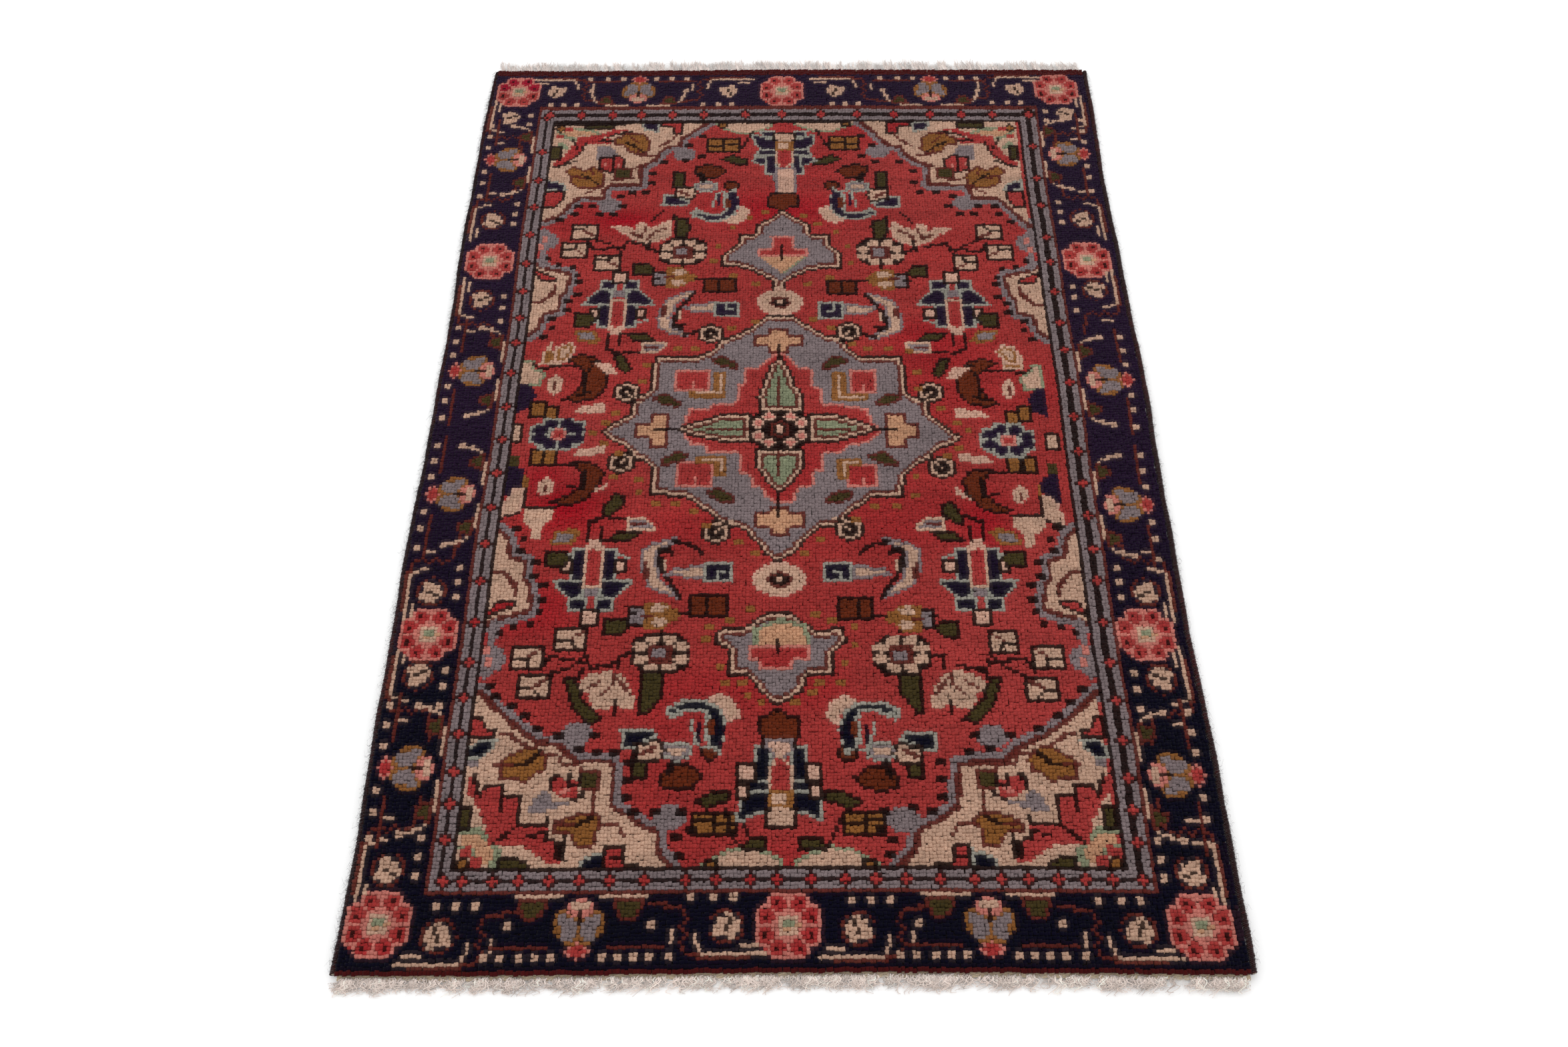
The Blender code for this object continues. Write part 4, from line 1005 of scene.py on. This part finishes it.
def repeats_tree():
    """Places shapes from a collection on points: spun, leaned and sized by chance, then one material."""
    tree = bpy.data.node_groups.new("repeats_on_points", "GeometryNodeTree")
    for label, kind in (("Points", "NodeSocketGeometry"), ("Shapes", "NodeSocketCollection"),
                        ("Lean", "NodeSocketVector"), ("Lean Spread", "NodeSocketVector"),
                        ("Spin Spread", "NodeSocketFloat"), ("Size Spread", "NodeSocketFloat"),
                        ("Seed", "NodeSocketInt"), ("Wool", "NodeSocketMaterial")):
        tree.interface.new_socket(label, in_out="INPUT", socket_type=kind)
    tree.interface.new_socket("Repeats", in_out="OUTPUT", socket_type="NodeSocketGeometry")
    given = tree.nodes.new("NodeGroupInput")

    def node(kind, **settings):
        made = tree.nodes.new(kind)
        for name, value in settings.items():
            setattr(made, name, value)
        return made

    def feed(socket, source):
        if isinstance(source, bpy.types.NodeSocket):
            tree.links.new(source, socket)
        else:
            socket.default_value = source

    def either_side(middle, spread, maths):
        """The middle less the spread, and the middle with it."""
        for operation in ("SUBTRACT", "ADD"):
            end = node(maths, operation=operation)
            feed(end.inputs[0], middle)
            feed(end.inputs[1], spread)
            yield end.outputs[0]

    def by_chance(kind, low, high):
        """A value between two others, new at every point. Each kind has two inputs and one output."""
        place = ("FLOAT_VECTOR", "FLOAT", "INT").index(kind)
        value = node("FunctionNodeRandomValue", data_type=kind)
        feed(value.inputs[place * 2], low)
        feed(value.inputs[place * 2 + 1], high)
        feed(value.inputs["Seed"], given.outputs["Seed"])
        return value.outputs[place]

    def as_turn(angles):
        turn = node("FunctionNodeEulerToRotation")
        feed(turn.inputs[0], angles)
        return turn.outputs[0]

    shapes = node("GeometryNodeCollectionInfo")
    shapes.inputs["Separate Children"].default_value = True
    shapes.inputs["Reset Children"].default_value = True
    feed(shapes.inputs["Collection"], given.outputs["Shapes"])
    lean = by_chance("FLOAT_VECTOR", *either_side(given.outputs["Lean"], given.outputs["Lean Spread"],
                                                  "ShaderNodeVectorMath"))
    spin = node("ShaderNodeCombineXYZ")
    feed(spin.inputs[2], by_chance("FLOAT", *either_side(0, given.outputs["Spin Spread"], "ShaderNodeMath")))
    turn = node("FunctionNodeRotateRotation", rotation_space="GLOBAL")
    feed(turn.inputs[0], as_turn(spin.outputs[0]))
    feed(turn.inputs[1], as_turn(lean))
    reach = node("GeometryNodeInputNamedAttribute", data_type="FLOAT_VECTOR")
    reach.inputs["Name"].default_value = "reach"
    size = node("ShaderNodeVectorMath", operation="SCALE")
    feed(size.inputs[0], reach.outputs[0])
    feed(size.inputs["Scale"], by_chance("FLOAT", *either_side(1, given.outputs["Size Spread"],
                                                               "ShaderNodeMath")))
    place = node("GeometryNodeInstanceOnPoints")
    place.inputs["Pick Instance"].default_value = True
    feed(place.inputs["Points"], given.outputs["Points"])
    feed(place.inputs["Instance"], shapes.outputs[0])
    feed(place.inputs["Instance Index"], by_chance("INT", 0, 997))
    feed(place.inputs["Rotation"], turn.outputs[0])
    feed(place.inputs["Scale"], size.outputs[0])
    real = node("GeometryNodeRealizeInstances")
    feed(real.inputs[0], place.outputs[0])
    dress = node("GeometryNodeSetMaterial")
    feed(dress.inputs["Geometry"], real.outputs[0])
    feed(dress.inputs["Material"], given.outputs["Wool"])
    feed(node("NodeGroupOutput").inputs[0], dress.outputs[0])
    return tree


REPEATS = repeats_tree()


def shapes_kept(name, makers):
    """A collection of shapes to repeat, kept out of the scene."""
    kept = bpy.data.collections.new(name)
    for made in makers:
        for holder in list(made.users_collection):
            holder.objects.unlink(made)
        kept.objects.link(made)
    return kept


def repeated(name, places, reach, colours, shapes, wool, lean, lean_spread, spin, size_spread, seed):
    """A plain mesh of shapes repeated at places, each with its own reach, lean, spin and colour."""
    points = bpy.data.meshes.new(name)
    points.from_pydata([tuple(place) for place in places], [], [])
    reach_data = points.attributes.new("reach", "FLOAT_VECTOR", "POINT")
    reach_data.data.foreach_set("vector", np.asarray(reach, np.float32).ravel())
    colour_data = points.attributes.new("wool", "FLOAT_COLOR", "POINT")
    four = np.ones((len(places), 4), np.float32)
    four[:, :3] = colours
    colour_data.data.foreach_set("color", four.ravel())
    guide = bpy.data.objects.new(name + "_places", points)
    bpy.context.scene.collection.objects.link(guide)
    modifier = guide.modifiers.new("repeats", "NODES")
    modifier.node_group = REPEATS
    settings = {"Shapes": shapes, "Lean": lean, "Lean Spread": lean_spread, "Spin Spread": spin,
                "Size Spread": size_spread, "Seed": seed, "Wool": wool}
    for item in REPEATS.interface.items_tree:
        if item.in_out == "INPUT" and item.name in settings:
            modifier[item.identifier] = settings[item.name]
    bpy.context.view_layer.update()
    drawn = guide.evaluated_get(bpy.context.evaluated_depsgraph_get())
    mesh = bpy.data.meshes.new_from_object(drawn, preserve_all_data_layers=True,
                                           depsgraph=bpy.context.evaluated_depsgraph_get())
    mesh.name = name
    piece = bpy.data.objects.new(name, mesh)
    bpy.context.scene.collection.objects.link(piece)
    bpy.data.objects.remove(guide)
    if "reach" in mesh.attributes:
        mesh.attributes.remove(mesh.attributes["reach"])
    if not mesh.materials:
        mesh.materials.append(wool)
    return piece


def spots_of(mesh):
    spots = np.zeros(len(mesh.vertices) * 3, np.float32)
    mesh.vertices.foreach_get("co", spots)
    return spots.reshape(-1, 3)


def made_plain(shaped):
    """The mesh that an object's curve or modifiers come to."""
    bpy.context.view_layer.update()
    return bpy.data.meshes.new_from_object(shaped.evaluated_get(bpy.context.evaluated_depsgraph_get()))


def lay_down(piece):
    """Moves a piece with the rug's own slight waves: the edges wander, and the cloth lifts a little."""
    mesh = piece.data
    spots = spots_of(mesh)
    x, y = spots[:, 0].copy(), spots[:, 1].copy()
    to_side, to_end = x / 0.49, y / 0.75
    spots[:, 0] += 0.0016 * np.sin(y * 9.0 + 0.6) * to_side ** 2 + 0.0008 * np.sin(y * 23.0) * to_side
    spots[:, 1] += 0.0022 * np.sin(x * 6.0 + 0.9) * to_end ** 2
    lift = 0.5 + 0.5 * np.sin(y * 8.3 + 1.2 * np.sin(x * 3.0) + 0.4)
    spots[:, 2] += 0.0022 * lift ** 3 * np.abs(to_side) ** 3
    mesh.vertices.foreach_set("co", spots.ravel())
    mesh.update()


def ridden(piece, *nodes):
    """Lays a piece down, puts it on the rug's one body and has it stand for its CAD nodes."""
    lay_down(piece)
    for face in piece.data.polygons:
        face.use_smooth = True
    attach(piece, "root")
    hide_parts(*nodes)
    return piece


def wool_material(name, roughness, sheen, fleck, fibre_scale, bump):
    """Wool or cotton: the yarn's own colour, flecked by fine fibre, with a soft sheen and fibre bump."""
    wool = bpy.data.materials.new(name)
    wool.use_nodes = True
    nodes, links = wool.node_tree.nodes, wool.node_tree.links
    shader = nodes["Principled BSDF"]
    shader.inputs["Roughness"].default_value = roughness
    shader.inputs["Specular IOR Level"].default_value = 0.06
    shader.inputs["Sheen Weight"].default_value = sheen
    shader.inputs["Sheen Roughness"].default_value = 0.45
    yarn = nodes.new("ShaderNodeAttribute")
    yarn.attribute_name = "wool"
    spot = nodes.new("ShaderNodeTexCoord")
    fibre = nodes.new("ShaderNodeTexNoise")
    fibre.inputs["Scale"].default_value = fibre_scale
    fibre.inputs["Detail"].default_value = 3.0
    links.new(spot.outputs["Object"], fibre.inputs["Vector"])
    span = nodes.new("ShaderNodeMapRange")
    span.inputs["From Min"].default_value = 0.3
    span.inputs["From Max"].default_value = 0.7
    span.inputs["To Min"].default_value = 1 - fleck
    span.inputs["To Max"].default_value = 1 + fleck
    links.new(fibre.outputs["Fac"], span.inputs["Value"])
    flecked = nodes.new("ShaderNodeVectorMath")
    flecked.operation = "SCALE"
    links.new(yarn.outputs["Color"], flecked.inputs[0])
    links.new(span.outputs["Result"], flecked.inputs["Scale"])
    links.new(flecked.outputs["Vector"], shader.inputs["Base Color"])
    raised = nodes.new("ShaderNodeBump")
    raised.inputs["Strength"].default_value = bump
    raised.inputs["Distance"].default_value = 0.0006
    links.new(fibre.outputs["Fac"], raised.inputs["Height"])
    links.new(raised.outputs["Normal"], shader.inputs["Normal"])
    return wool


PILE_WOOL = wool_material("knotted_pile_wool", 0.9, 0.05, 0.40, 1400.0, 0.6)


def clipped_tuft():
    """One tuft 1 high, with its own flat map: narrow at the knot, widest under its low round tip."""
    shape = bmesh.new()
    bmesh.ops.create_cone(shape, cap_ends=True, segments=4, radius1=0.56, radius2=0.84, depth=0.86)
    bmesh.ops.rotate(shape, verts=shape.verts, matrix=Matrix.Rotation(math.pi / 4, 3, "Z"))
    bmesh.ops.translate(shape, verts=shape.verts, vec=(0, 0, 0.43))
    top = [face for face in shape.faces if face.calc_center_median().z > 0.8]
    tip = bmesh.ops.poke(shape, faces=top)["verts"]
    for vert in tip:
        vert.co.z = 1.0
    flat = shape.loops.layers.uv.new("OFBake")
    for face in shape.faces:
        foot = all(vert.co.z < 0.01 for vert in face.verts)
        for loop in face.loops:
            spot = loop.vert.co
            ring = 1.0 if spot.z < 0.01 else 0.6
            if spot.z > 0.95:
                ring = 0.0
            reach = max(abs(spot.x), abs(spot.y), 1e-6)
            star = (spot.x / reach * ring, spot.y / reach * ring)
            if foot:
                star = (-0.98 + 0.02 * (spot.x > 0), -0.98 + 0.02 * (spot.y > 0))
            else:
                star = (0.08 + 0.9 * star[0], 0.08 + 0.9 * star[1])
            loop[flat].uv = star
    mesh = bpy.data.meshes.new("clipped_tuft")
    shape.to_mesh(mesh)
    shape.free()
    return bpy.data.objects.new("clipped_tuft", mesh)


TUFTS = shapes_kept("clipped_tufts", [clipped_tuft()])


def spread_map(piece, repeats):
    """Gives each repeat its own cell of the piece's flat map."""
    flat = piece.data.uv_layers["OFBake"]
    corners = np.zeros(len(flat.data) * 2, np.float32)
    flat.data.foreach_get("uv", corners)
    corners = corners.reshape(-1, 2)
    which = np.arange(len(corners)) // (len(corners) // repeats)
    side = math.ceil(math.sqrt(repeats))
    cell = np.stack([which % side, which // side], axis=1)
    corners = (cell + 0.5 + 0.46 * corners) / side
    flat.data.foreach_set("uv", corners.astype(np.float32).ravel())


def knot_pile(name, node, chosen, seed):
    """The tufts of one piece of the pile."""
    across = column[chosen] * KNOT_PITCH_ACROSS + chance.normal(0, SCATTER_ACROSS, chosen.sum())
    along = row[chosen] * KNOT_PITCH_ALONG + chance.normal(0, SCATTER_ALONG, chosen.sum())
    places = np.stack([across, along, np.full(across.shape, GROUND_TOP - TUFT_SUNK)], axis=1)
    tuft_size = (KNOT_PITCH_ACROSS * TUFT_SHARE_ACROSS, KNOT_PITCH_ALONG * TUFT_SHARE_ALONG, TUFT_RISE)
    reach = np.tile(tuft_size, (len(places), 1))
    lean = (NAP_TO_NEAR, -NAP_TO_LEFT, 0)
    piece = repeated(name, places, reach, wool_colour[chosen], TUFTS, PILE_WOOL, lean,
                     (LEAN_SPREAD, LEAN_SPREAD, 0), SPIN_SPREAD, SIZE_SPREAD, seed)
    spread_map(piece, len(places))
    return ridden(piece, node)


for seed, name in enumerate(sorted(set(piece_of.ravel()))):
    chosen = piece_of == name
    if name == "field_pile":
        for end, half in (("near", row < 0), ("far", row >= 0)):
            for side, part in (("left", column < -FIELD_MIDDLE_HALF),
                               ("middle", abs(column) <= FIELD_MIDDLE_HALF),
                               ("right", column > FIELD_MIDDLE_HALF)):
                knot_pile("field_pile_%s_%s" % (end, side), name, chosen & half & part,
                                             seed)
    else:
        knot_pile(name + "_tufts", name, chosen, seed)

# ---------------------------------------------------------------------------------------------
# Ground weave: the cotton cloth of warps and wefts that the knots are tied on. Its top is
# hidden in the pile; its underside shows the back of every knot as a small ribbed block.
COTTON = (0.52, 0.44, 0.34)
# painted shade: the dark brown of the cloth's lid and rim stands for the shade between the tufts, not the
# cotton's own colour
GAP_SHADE_PAINTED = (0.10, 0.06, 0.055)


def ground_cloth():
    """The cloth as one closed sheet: a grid of knot backs below, a rim round it and a ribbed lid."""
    sides_x = (np.arange(KNOTS_ACROSS + 1) - KNOTS_ACROSS / 2) * KNOT_PITCH_ACROSS
    sides_y = (np.arange(KNOTS_ALONG + 1) - KNOTS_ALONG / 2) * KNOT_PITCH_ALONG
    wide, long = KNOTS_ACROSS + 1, KNOTS_ALONG + 1
    grid_x, grid_y = np.meshgrid(sides_x, sides_y)
    under = np.stack([grid_x, grid_y, np.full(grid_x.shape, 0.0004)], axis=2)
    under[::2, :, 2] -= 0.0003
    under = under.reshape(-1, 3)
    rim = np.concatenate([np.arange(wide), np.arange(1, long) * wide + wide - 1,
                          (long - 1) * wide + np.arange(wide - 2, -1, -1), np.arange(long - 2, 0, -1) * wide])
    top = under[rim] * (1, 1, 0) + (0, 0, GROUND_TOP)
    first = len(under)
    corners = np.concatenate([under, top])
    index = np.arange(wide * long).reshape(long, wide)
    knots = np.stack([index[:-1, :-1], index[1:, :-1], index[1:, 1:], index[:-1, 1:]], axis=2).reshape(-1, 4)
    faces = [tuple(int(i) for i in face) for face in knots]
    side = len(rim)
    for step in range(side):
        after = (step + 1) % side
        faces.append((int(rim[step]), int(rim[after]), first + after, first + step))
    mesh = bpy.data.meshes.new("ground_cloth")
    mesh.from_pydata([tuple(corner) for corner in corners], [], faces)
    shape = bmesh.new()
    shape.from_mesh(mesh)
    shape.verts.ensure_lookup_table()
    lid = [shape.verts[first + step] for step in range(side)]
    # each strip of the lid runs from the left rim to the right one
    for strip in range(KNOTS_ALONG):
        right_low, right_high = lid[wide - 1 + strip], lid[wide + strip]
        left_low, left_high = lid[-strip % side], lid[-(strip + 1) % side]
        if strip == 0:
            shape.faces.new(lid[:wide] + [right_high, left_high])
        elif strip == KNOTS_ALONG - 1:
            far_row = [lid[wide + long - 2 + step] for step in range(wide)]
            shape.faces.new([left_low, right_low] + far_row)
        else:
            shape.faces.new((left_low, right_low, right_high, left_high))
    shape.to_mesh(mesh)
    shape.free()
    colour = mesh.attributes.new("wool", "FLOAT_COLOR", "CORNER")
    four = np.ones((len(mesh.loops), 4), np.float32)
    # the rim and the lid take the painted shade between the tufts; the knot backs below take the pile's
    # colours
    four[:, :3] = GAP_SHADE_PAINTED
    four[:len(knots) * 4, :3] = np.repeat(wool_colour.reshape(-1, 3) * 0.9, 4, axis=0)
    colour.data.foreach_set("color", four.ravel())
    flat = mesh.uv_layers.new(name="OFBake")
    spots = spots_of(mesh)
    owner = np.zeros(len(mesh.loops), np.int32)
    mesh.loops.foreach_get("vertex_index", owner)
    uv = (spots[owner, :2] - spots[:, :2].min(axis=0)) / np.ptp(spots[:, :2], axis=0)
    uv = 0.02 + uv * (0.80, 0.96)
    uv[len(knots) * 4:] = uv[len(knots) * 4:] * (0.12, 1) + (0.86, 0)
    flat.data.foreach_set("uv", uv.astype(np.float32).ravel())
    return mesh


GROUND_COTTON = wool_material("ground_cotton", 0.95, 0.1, 0.25, 900.0, 0.5)
ground = bpy.data.objects.new("ground_cloth", ground_cloth())
ground.data.materials.append(GROUND_COTTON)
bpy.context.scene.collection.objects.link(ground)
ridden(ground, "ground_weave")

# ---------------------------------------------------------------------------------------------
# Selvedges: two plied cotton cords down each long side, overcast with dark wool that is wound
# round them a turn to every knot row and has worn a little hairy.
OVERCAST_WOOL = wool_material("overcast_wool", 0.9, 0.35, 0.35, 1800.0, 0.6)
CORD_COTTON = wool_material("cord_cotton", 0.9, 0.1, 0.2, 1500.0, 0.5)


def wound_turn():
    """One turn of overcasting wool: a slanted ring, height and width 1."""
    bpy.ops.mesh.primitive_torus_add(major_segments=10, minor_segments=4, major_radius=0.40,
                                     minor_radius=0.115)
    ring = bpy.context.object
    ring.data.transform(Matrix.Rotation(math.radians(90), 4, "X"))
    ring.data.transform(Matrix.Rotation(math.radians(14), 4, "Z"))
    for face in ring.data.polygons:
        face.use_smooth = True
    return ring


TURNS = shapes_kept("wound_turns", [wound_turn()])
TURN_PITCH = 0.0019
TURN_WIDTH = 0.0105
CORD_STEPS = 180
CORD_TWISTS = 40
STRAND_HALF_THICK = 0.0012
STRANDS_HALF_APART = 0.0009
STRANDS_HALF_STACK = 0.0007
DARK_OVERCAST = (44, 20, 20)
RED_OVERCAST = (74, 22, 24)
selvedge_pieces = []
for side in ("left", "right"):
    low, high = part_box("selvedge_overcast_" + side)
    width, height = high.x - low.x, high.z - low.z
    turns = int((high.y - low.y) / TURN_PITCH)
    turn_y = np.linspace(low.y + 0.001, high.y - 0.001, turns)
    turn_x = (low.x + high.x) / 2 + 0.0004 * np.sin(turn_y * 60) + chance.normal(0, 0.00018, turns)
    places = np.stack([turn_x, turn_y, np.full(turns, low.z + height / 2 + 0.0003)], axis=1)
    reach = np.tile((width * 1.04, TURN_WIDTH, height * 0.98), (turns, 1))
    red_part = np.clip(np.sin(turn_y * 13.0) * 0.5 + chance.normal(0, 0.3, turns), 0, 1)[:, None]
    tint = linear(DARK_OVERCAST) * (1 - red_part) + linear(RED_OVERCAST) * red_part
    tint = tint * (1 + chance.normal(0, 0.12, (turns, 1)))
    winding = repeated("overcasting_" + side, places, reach, np.clip(tint, 0.002, 1), TURNS, OVERCAST_WOOL,
                       (0, 0, 0), (0.06, 0.06, 0.10), 0.0, 0.06, 7)
    ridden(winding, "selvedge_overcast_" + side)
    low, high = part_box("selvedge_cord_" + side)
    core = bpy.data.curves.new("cord_" + side, "CURVE")
    core.dimensions = "3D"
    for strand in (-1, 1):
        run = core.splines.new("POLY")
        run.points.add(CORD_STEPS - 1)
        for step in range(CORD_STEPS):
            at = step / (CORD_STEPS - 1)
            angle = at * 2 * math.pi * CORD_TWISTS + (strand > 0) * math.pi
            run.points[step].co = ((low.x + high.x) / 2 + STRANDS_HALF_APART * math.cos(angle),
                                   low.y + at * (high.y - low.y),
                                   (low.z + high.z) / 2 + STRANDS_HALF_STACK * math.sin(angle), 1)
    core.bevel_depth = STRAND_HALF_THICK
    core.bevel_resolution = 1
    core.use_fill_caps = True
    core_object = bpy.data.objects.new("cord_curve_" + side, core)
    bpy.context.scene.collection.objects.link(core_object)
    mesh = made_plain(core_object)
    bpy.data.objects.remove(core_object)
    cord = bpy.data.objects.new("selvedge_cords_" + side, mesh)
    bpy.context.scene.collection.objects.link(cord)
    mesh.materials.clear()
    mesh.materials.append(CORD_COTTON)
    tone = mesh.attributes.new("wool", "FLOAT_COLOR", "POINT")
    tone.data.foreach_set("color", np.tile((*COTTON, 1.0), len(mesh.vertices)))
    ridden(cord, "selvedge_cord_" + side)
    selvedge_pieces += [winding, cord]

# ---------------------------------------------------------------------------------------------
# Kilim ends: a few picks of plain cotton weaving at each end that lock the last row of knots.
# Heavy wefts pass over and under the warps, so the strip is a close basket of small bumps.
STRIP_STEPS_ACROSS = KNOTS_ACROSS * 2
STRIP_STEPS_ALONG = 12
WEFT_RISE = 0.0005
CLOTH_THICKNESS = 0.0018
KILIM_CREAM = (196, 178, 152)
KILIM_COTTON = wool_material("kilim_cotton", 0.95, 0.15, 0.25, 1500.0, 0.5)
for end in ("near", "far"):
    low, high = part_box("kilim_end_" + end)
    bpy.ops.mesh.primitive_grid_add(x_subdivisions=STRIP_STEPS_ACROSS, y_subdivisions=STRIP_STEPS_ALONG,
                                    size=1)
    strip = bpy.context.object
    strip.name = "kilim_strip_" + end
    mesh = strip.data
    spots = spots_of(mesh)
    warp = np.round((spots[:, 0] + 0.5) * STRIP_STEPS_ACROSS).astype(int)
    pick = np.round((spots[:, 1] + 0.5) * STRIP_STEPS_ALONG).astype(int)
    over = np.cos(np.pi * warp / 2) * np.where((pick // 3) % 2, -1, 1) * np.sin(np.pi * (pick % 3) / 3 + 0.3)
    spots[:, 0] = low.x + (spots[:, 0] + 0.5) * (high.x - low.x)
    spots[:, 1] = low.y + (spots[:, 1] + 0.5) * (high.y - low.y)
    spots[:, 2] = high.z - 0.0008 + WEFT_RISE * over
    mesh.vertices.foreach_set("co", spots.ravel())
    thick = strip.modifiers.new("cloth", "SOLIDIFY")
    thick.thickness = CLOTH_THICKNESS
    thick.offset = -1
    solid = made_plain(strip)
    strip.modifiers.clear()
    strip.data = solid
    tone = solid.attributes.new("wool", "FLOAT_COLOR", "POINT")
    cream = np.ones((len(solid.vertices), 4), np.float32)
    cream[:, :3] = linear(KILIM_CREAM) * chance.normal(1, 0.06, (len(solid.vertices), 1))
    tone.data.foreach_set("color", np.clip(cream, 0, 1).ravel())
    solid.materials.append(KILIM_COTTON)
    ridden(strip, "kilim_end_" + end)

# ---------------------------------------------------------------------------------------------
# Fringes: the ends of the cotton warps beyond the kilim, long and fluffy at the far end, short,
# matted and swept to the left at the near end. Twisted strands with fine loose fibres over them.
STRAND_LENGTH = 0.03
STRANDS_IN_CLUMP = 5
FRINGE_COTTON = wool_material("fringe_cotton", 0.95, 0.35, 0.12, 1600.0, 0.4)


def warp_strand(name, sweep, wander, thickness, steps=9):
    """One strand along +Y that lies down from its knot, swept aside and wandering, thinner to its end."""
    line_data = bpy.data.curves.new(name, "CURVE")
    line_data.dimensions = "3D"
    line_data.bevel_depth = 1.0
    line_data.bevel_resolution = 0
    line_data.use_fill_caps = True
    run = line_data.splines.new("POLY")
    run.points.add(steps - 1)
    turns = chance.uniform(0.5, 1.6)
    start = chance.uniform(0, 6.28)
    for step in range(steps):
        at = step / (steps - 1)
        aside = sweep * at ** 1.4 + wander * at * math.sin(start + turns * 6.28 * at)
        up = 0.0016 * (1 - at) ** 2 + 0.0006 + 0.0009 * at * abs(math.sin(start * 2 + 9 * at))
        run.points[step].co = (aside, at * STRAND_LENGTH, up, 1)
        run.points[step].radius = thickness * (1 - 0.55 * at ** 2)
    holder = bpy.data.objects.new(name, line_data)
    bpy.context.scene.collection.objects.link(holder)
    mesh = made_plain(holder)
    bpy.data.objects.remove(holder)
    shape = bmesh.new()
    shape.from_mesh(mesh)
    bmesh.ops.remove_doubles(shape, verts=shape.verts, dist=0.00001)
    bmesh.ops.recalc_face_normals(shape, faces=shape.faces)
    shape.to_mesh(mesh)
    shape.free()
    return bpy.data.objects.new(name, mesh)


def fringe(end, kind, count, shapes, length_spread, height, spin, tint, seed):
    """The strands or the fibres of one fringe, in small clumps that share their length and tone."""
    low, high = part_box("fringe_" + end)
    outward, foot, share = (1, low.y, 0.74) if end == "far" else (-1, high.y, 0.95)
    clumps = count // STRANDS_IN_CLUMP
    count = clumps * STRANDS_IN_CLUMP
    clump_x = chance.uniform(low.x + 0.004, high.x - 0.004, clumps)
    foot_x = np.repeat(clump_x, STRANDS_IN_CLUMP) + chance.normal(0, 0.0022, count)
    foot_x = np.clip(foot_x, low.x + 0.002, high.x - 0.002)
    places = np.stack([foot_x, np.full(count, foot) - outward * chance.uniform(0, 0.004, count),
                       chance.uniform(0, height, count)], axis=1)
    size = np.repeat(chance.uniform(1 - length_spread, 1, clumps), STRANDS_IN_CLUMP)
    size = size * chance.uniform(0.75, 1.05, count)
    room = (high.y - low.y + 0.004) / STRAND_LENGTH
    reach = np.stack([np.ones(count), size * room * share, np.ones(count)], axis=1)
    colours = linear(tint) * np.clip(chance.normal(0.92, 0.16, (count, 1)), 0.45, 1.1)
    colours = colours * np.repeat(chance.uniform(0.74, 1.08, (clumps, 1)), STRANDS_IN_CLUMP, axis=0)
    # the strand shapes run along +Y, so at the near end they are turned about
    piece = repeated("fringe_%s_%s" % (end, kind), places, reach, np.clip(colours, 0, 1), shapes,
                     FRINGE_COTTON, (0, 0, 0 if end == "far" else math.pi), (0.0, 0.0, 0.0), spin, 0.0, seed)
    return ridden(piece, "fringe_" + end)


def ten(name, *shape):
    """Ten strands of one sort, no two alike."""
    return shapes_kept(name, [warp_strand("%s_%d" % (name, number), *shape) for number in range(10)])


FAR_STRANDS = ten("far_strand", -0.004, 0.0022, 0.0006)
fringe_pieces = [fringe("far", "strands", 1500, FAR_STRANDS, 0.55, 0.0014, 0.18, (248, 232, 224), 11)]
FAR_FIBRES = ten("far_fibre", -0.004, 0.007, 0.00016, 6)
fringe_pieces += [fringe("far", "fibres", 2600, FAR_FIBRES, 0.6, 0.0022, 0.5, (252, 246, 242), 12)]
NEAR_STRANDS = ten("near_strand", 0.005, 0.008, 0.0008)
fringe_pieces += [fringe("near", "strands", 1450, NEAR_STRANDS, 0.5, 0.0014, 0.5, (255, 238, 228), 13)]
NEAR_FIBRES = ten("near_fibre", 0.006, 0.006, 0.00016, 6)
fringe_pieces += [fringe("near", "fibres", 500, NEAR_FIBRES, 0.6, 0.0020, 0.8, (252, 244, 240), 14)]

# ---------------------------------------------------------------------------------------------
# Loose hairs: fine wool ends that stand out of the pile and the overcasting along the two long
# sides, navy on the left and dark red on the right. They ride with the rug and hold nothing.
HAIR_WOOL = wool_material("loose_hair", 0.9, 0.3, 0.1, 1500.0, 0.2)
HAIRS = ten("hair", 0.0, 0.006, 0.00017, 5)
HAIRS_A_SIDE = 2400
NAVY_HAIR = (22, 16, 32)
RED_HAIR = (52, 22, 22)
for side, outward in (("left", -1), ("right", 1)):
    low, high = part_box("selvedge_overcast_" + side)
    out_from_edge = chance.uniform(-0.001, 0.004, HAIRS_A_SIDE)
    edge = (PILE_WIDTH / 2 + out_from_edge + (0.0015 if side == "left" else 0)) * outward
    places = np.stack([edge, chance.uniform(low.y + 0.004, high.y - 0.004, HAIRS_A_SIDE),
                       chance.uniform(0.003, 0.0085, HAIRS_A_SIDE)], axis=1)
    reach = np.stack([np.ones(HAIRS_A_SIDE), chance.uniform(0.10, 0.28, HAIRS_A_SIDE), np.ones(HAIRS_A_SIDE)],
                     axis=1)
    tint = linear(NAVY_HAIR if side == "left" else RED_HAIR) * chance.uniform(0.6, 1.3, (HAIRS_A_SIDE, 1))
    hairs = repeated("side_hairs_" + side, places, reach, tint, HAIRS, HAIR_WOOL,
                     (0.1, 0, -outward * math.pi / 2), (0.3, 0.3, 0.5), 0.0, 0.2, 17)
    lay_down(hairs)
    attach(hairs, "root")
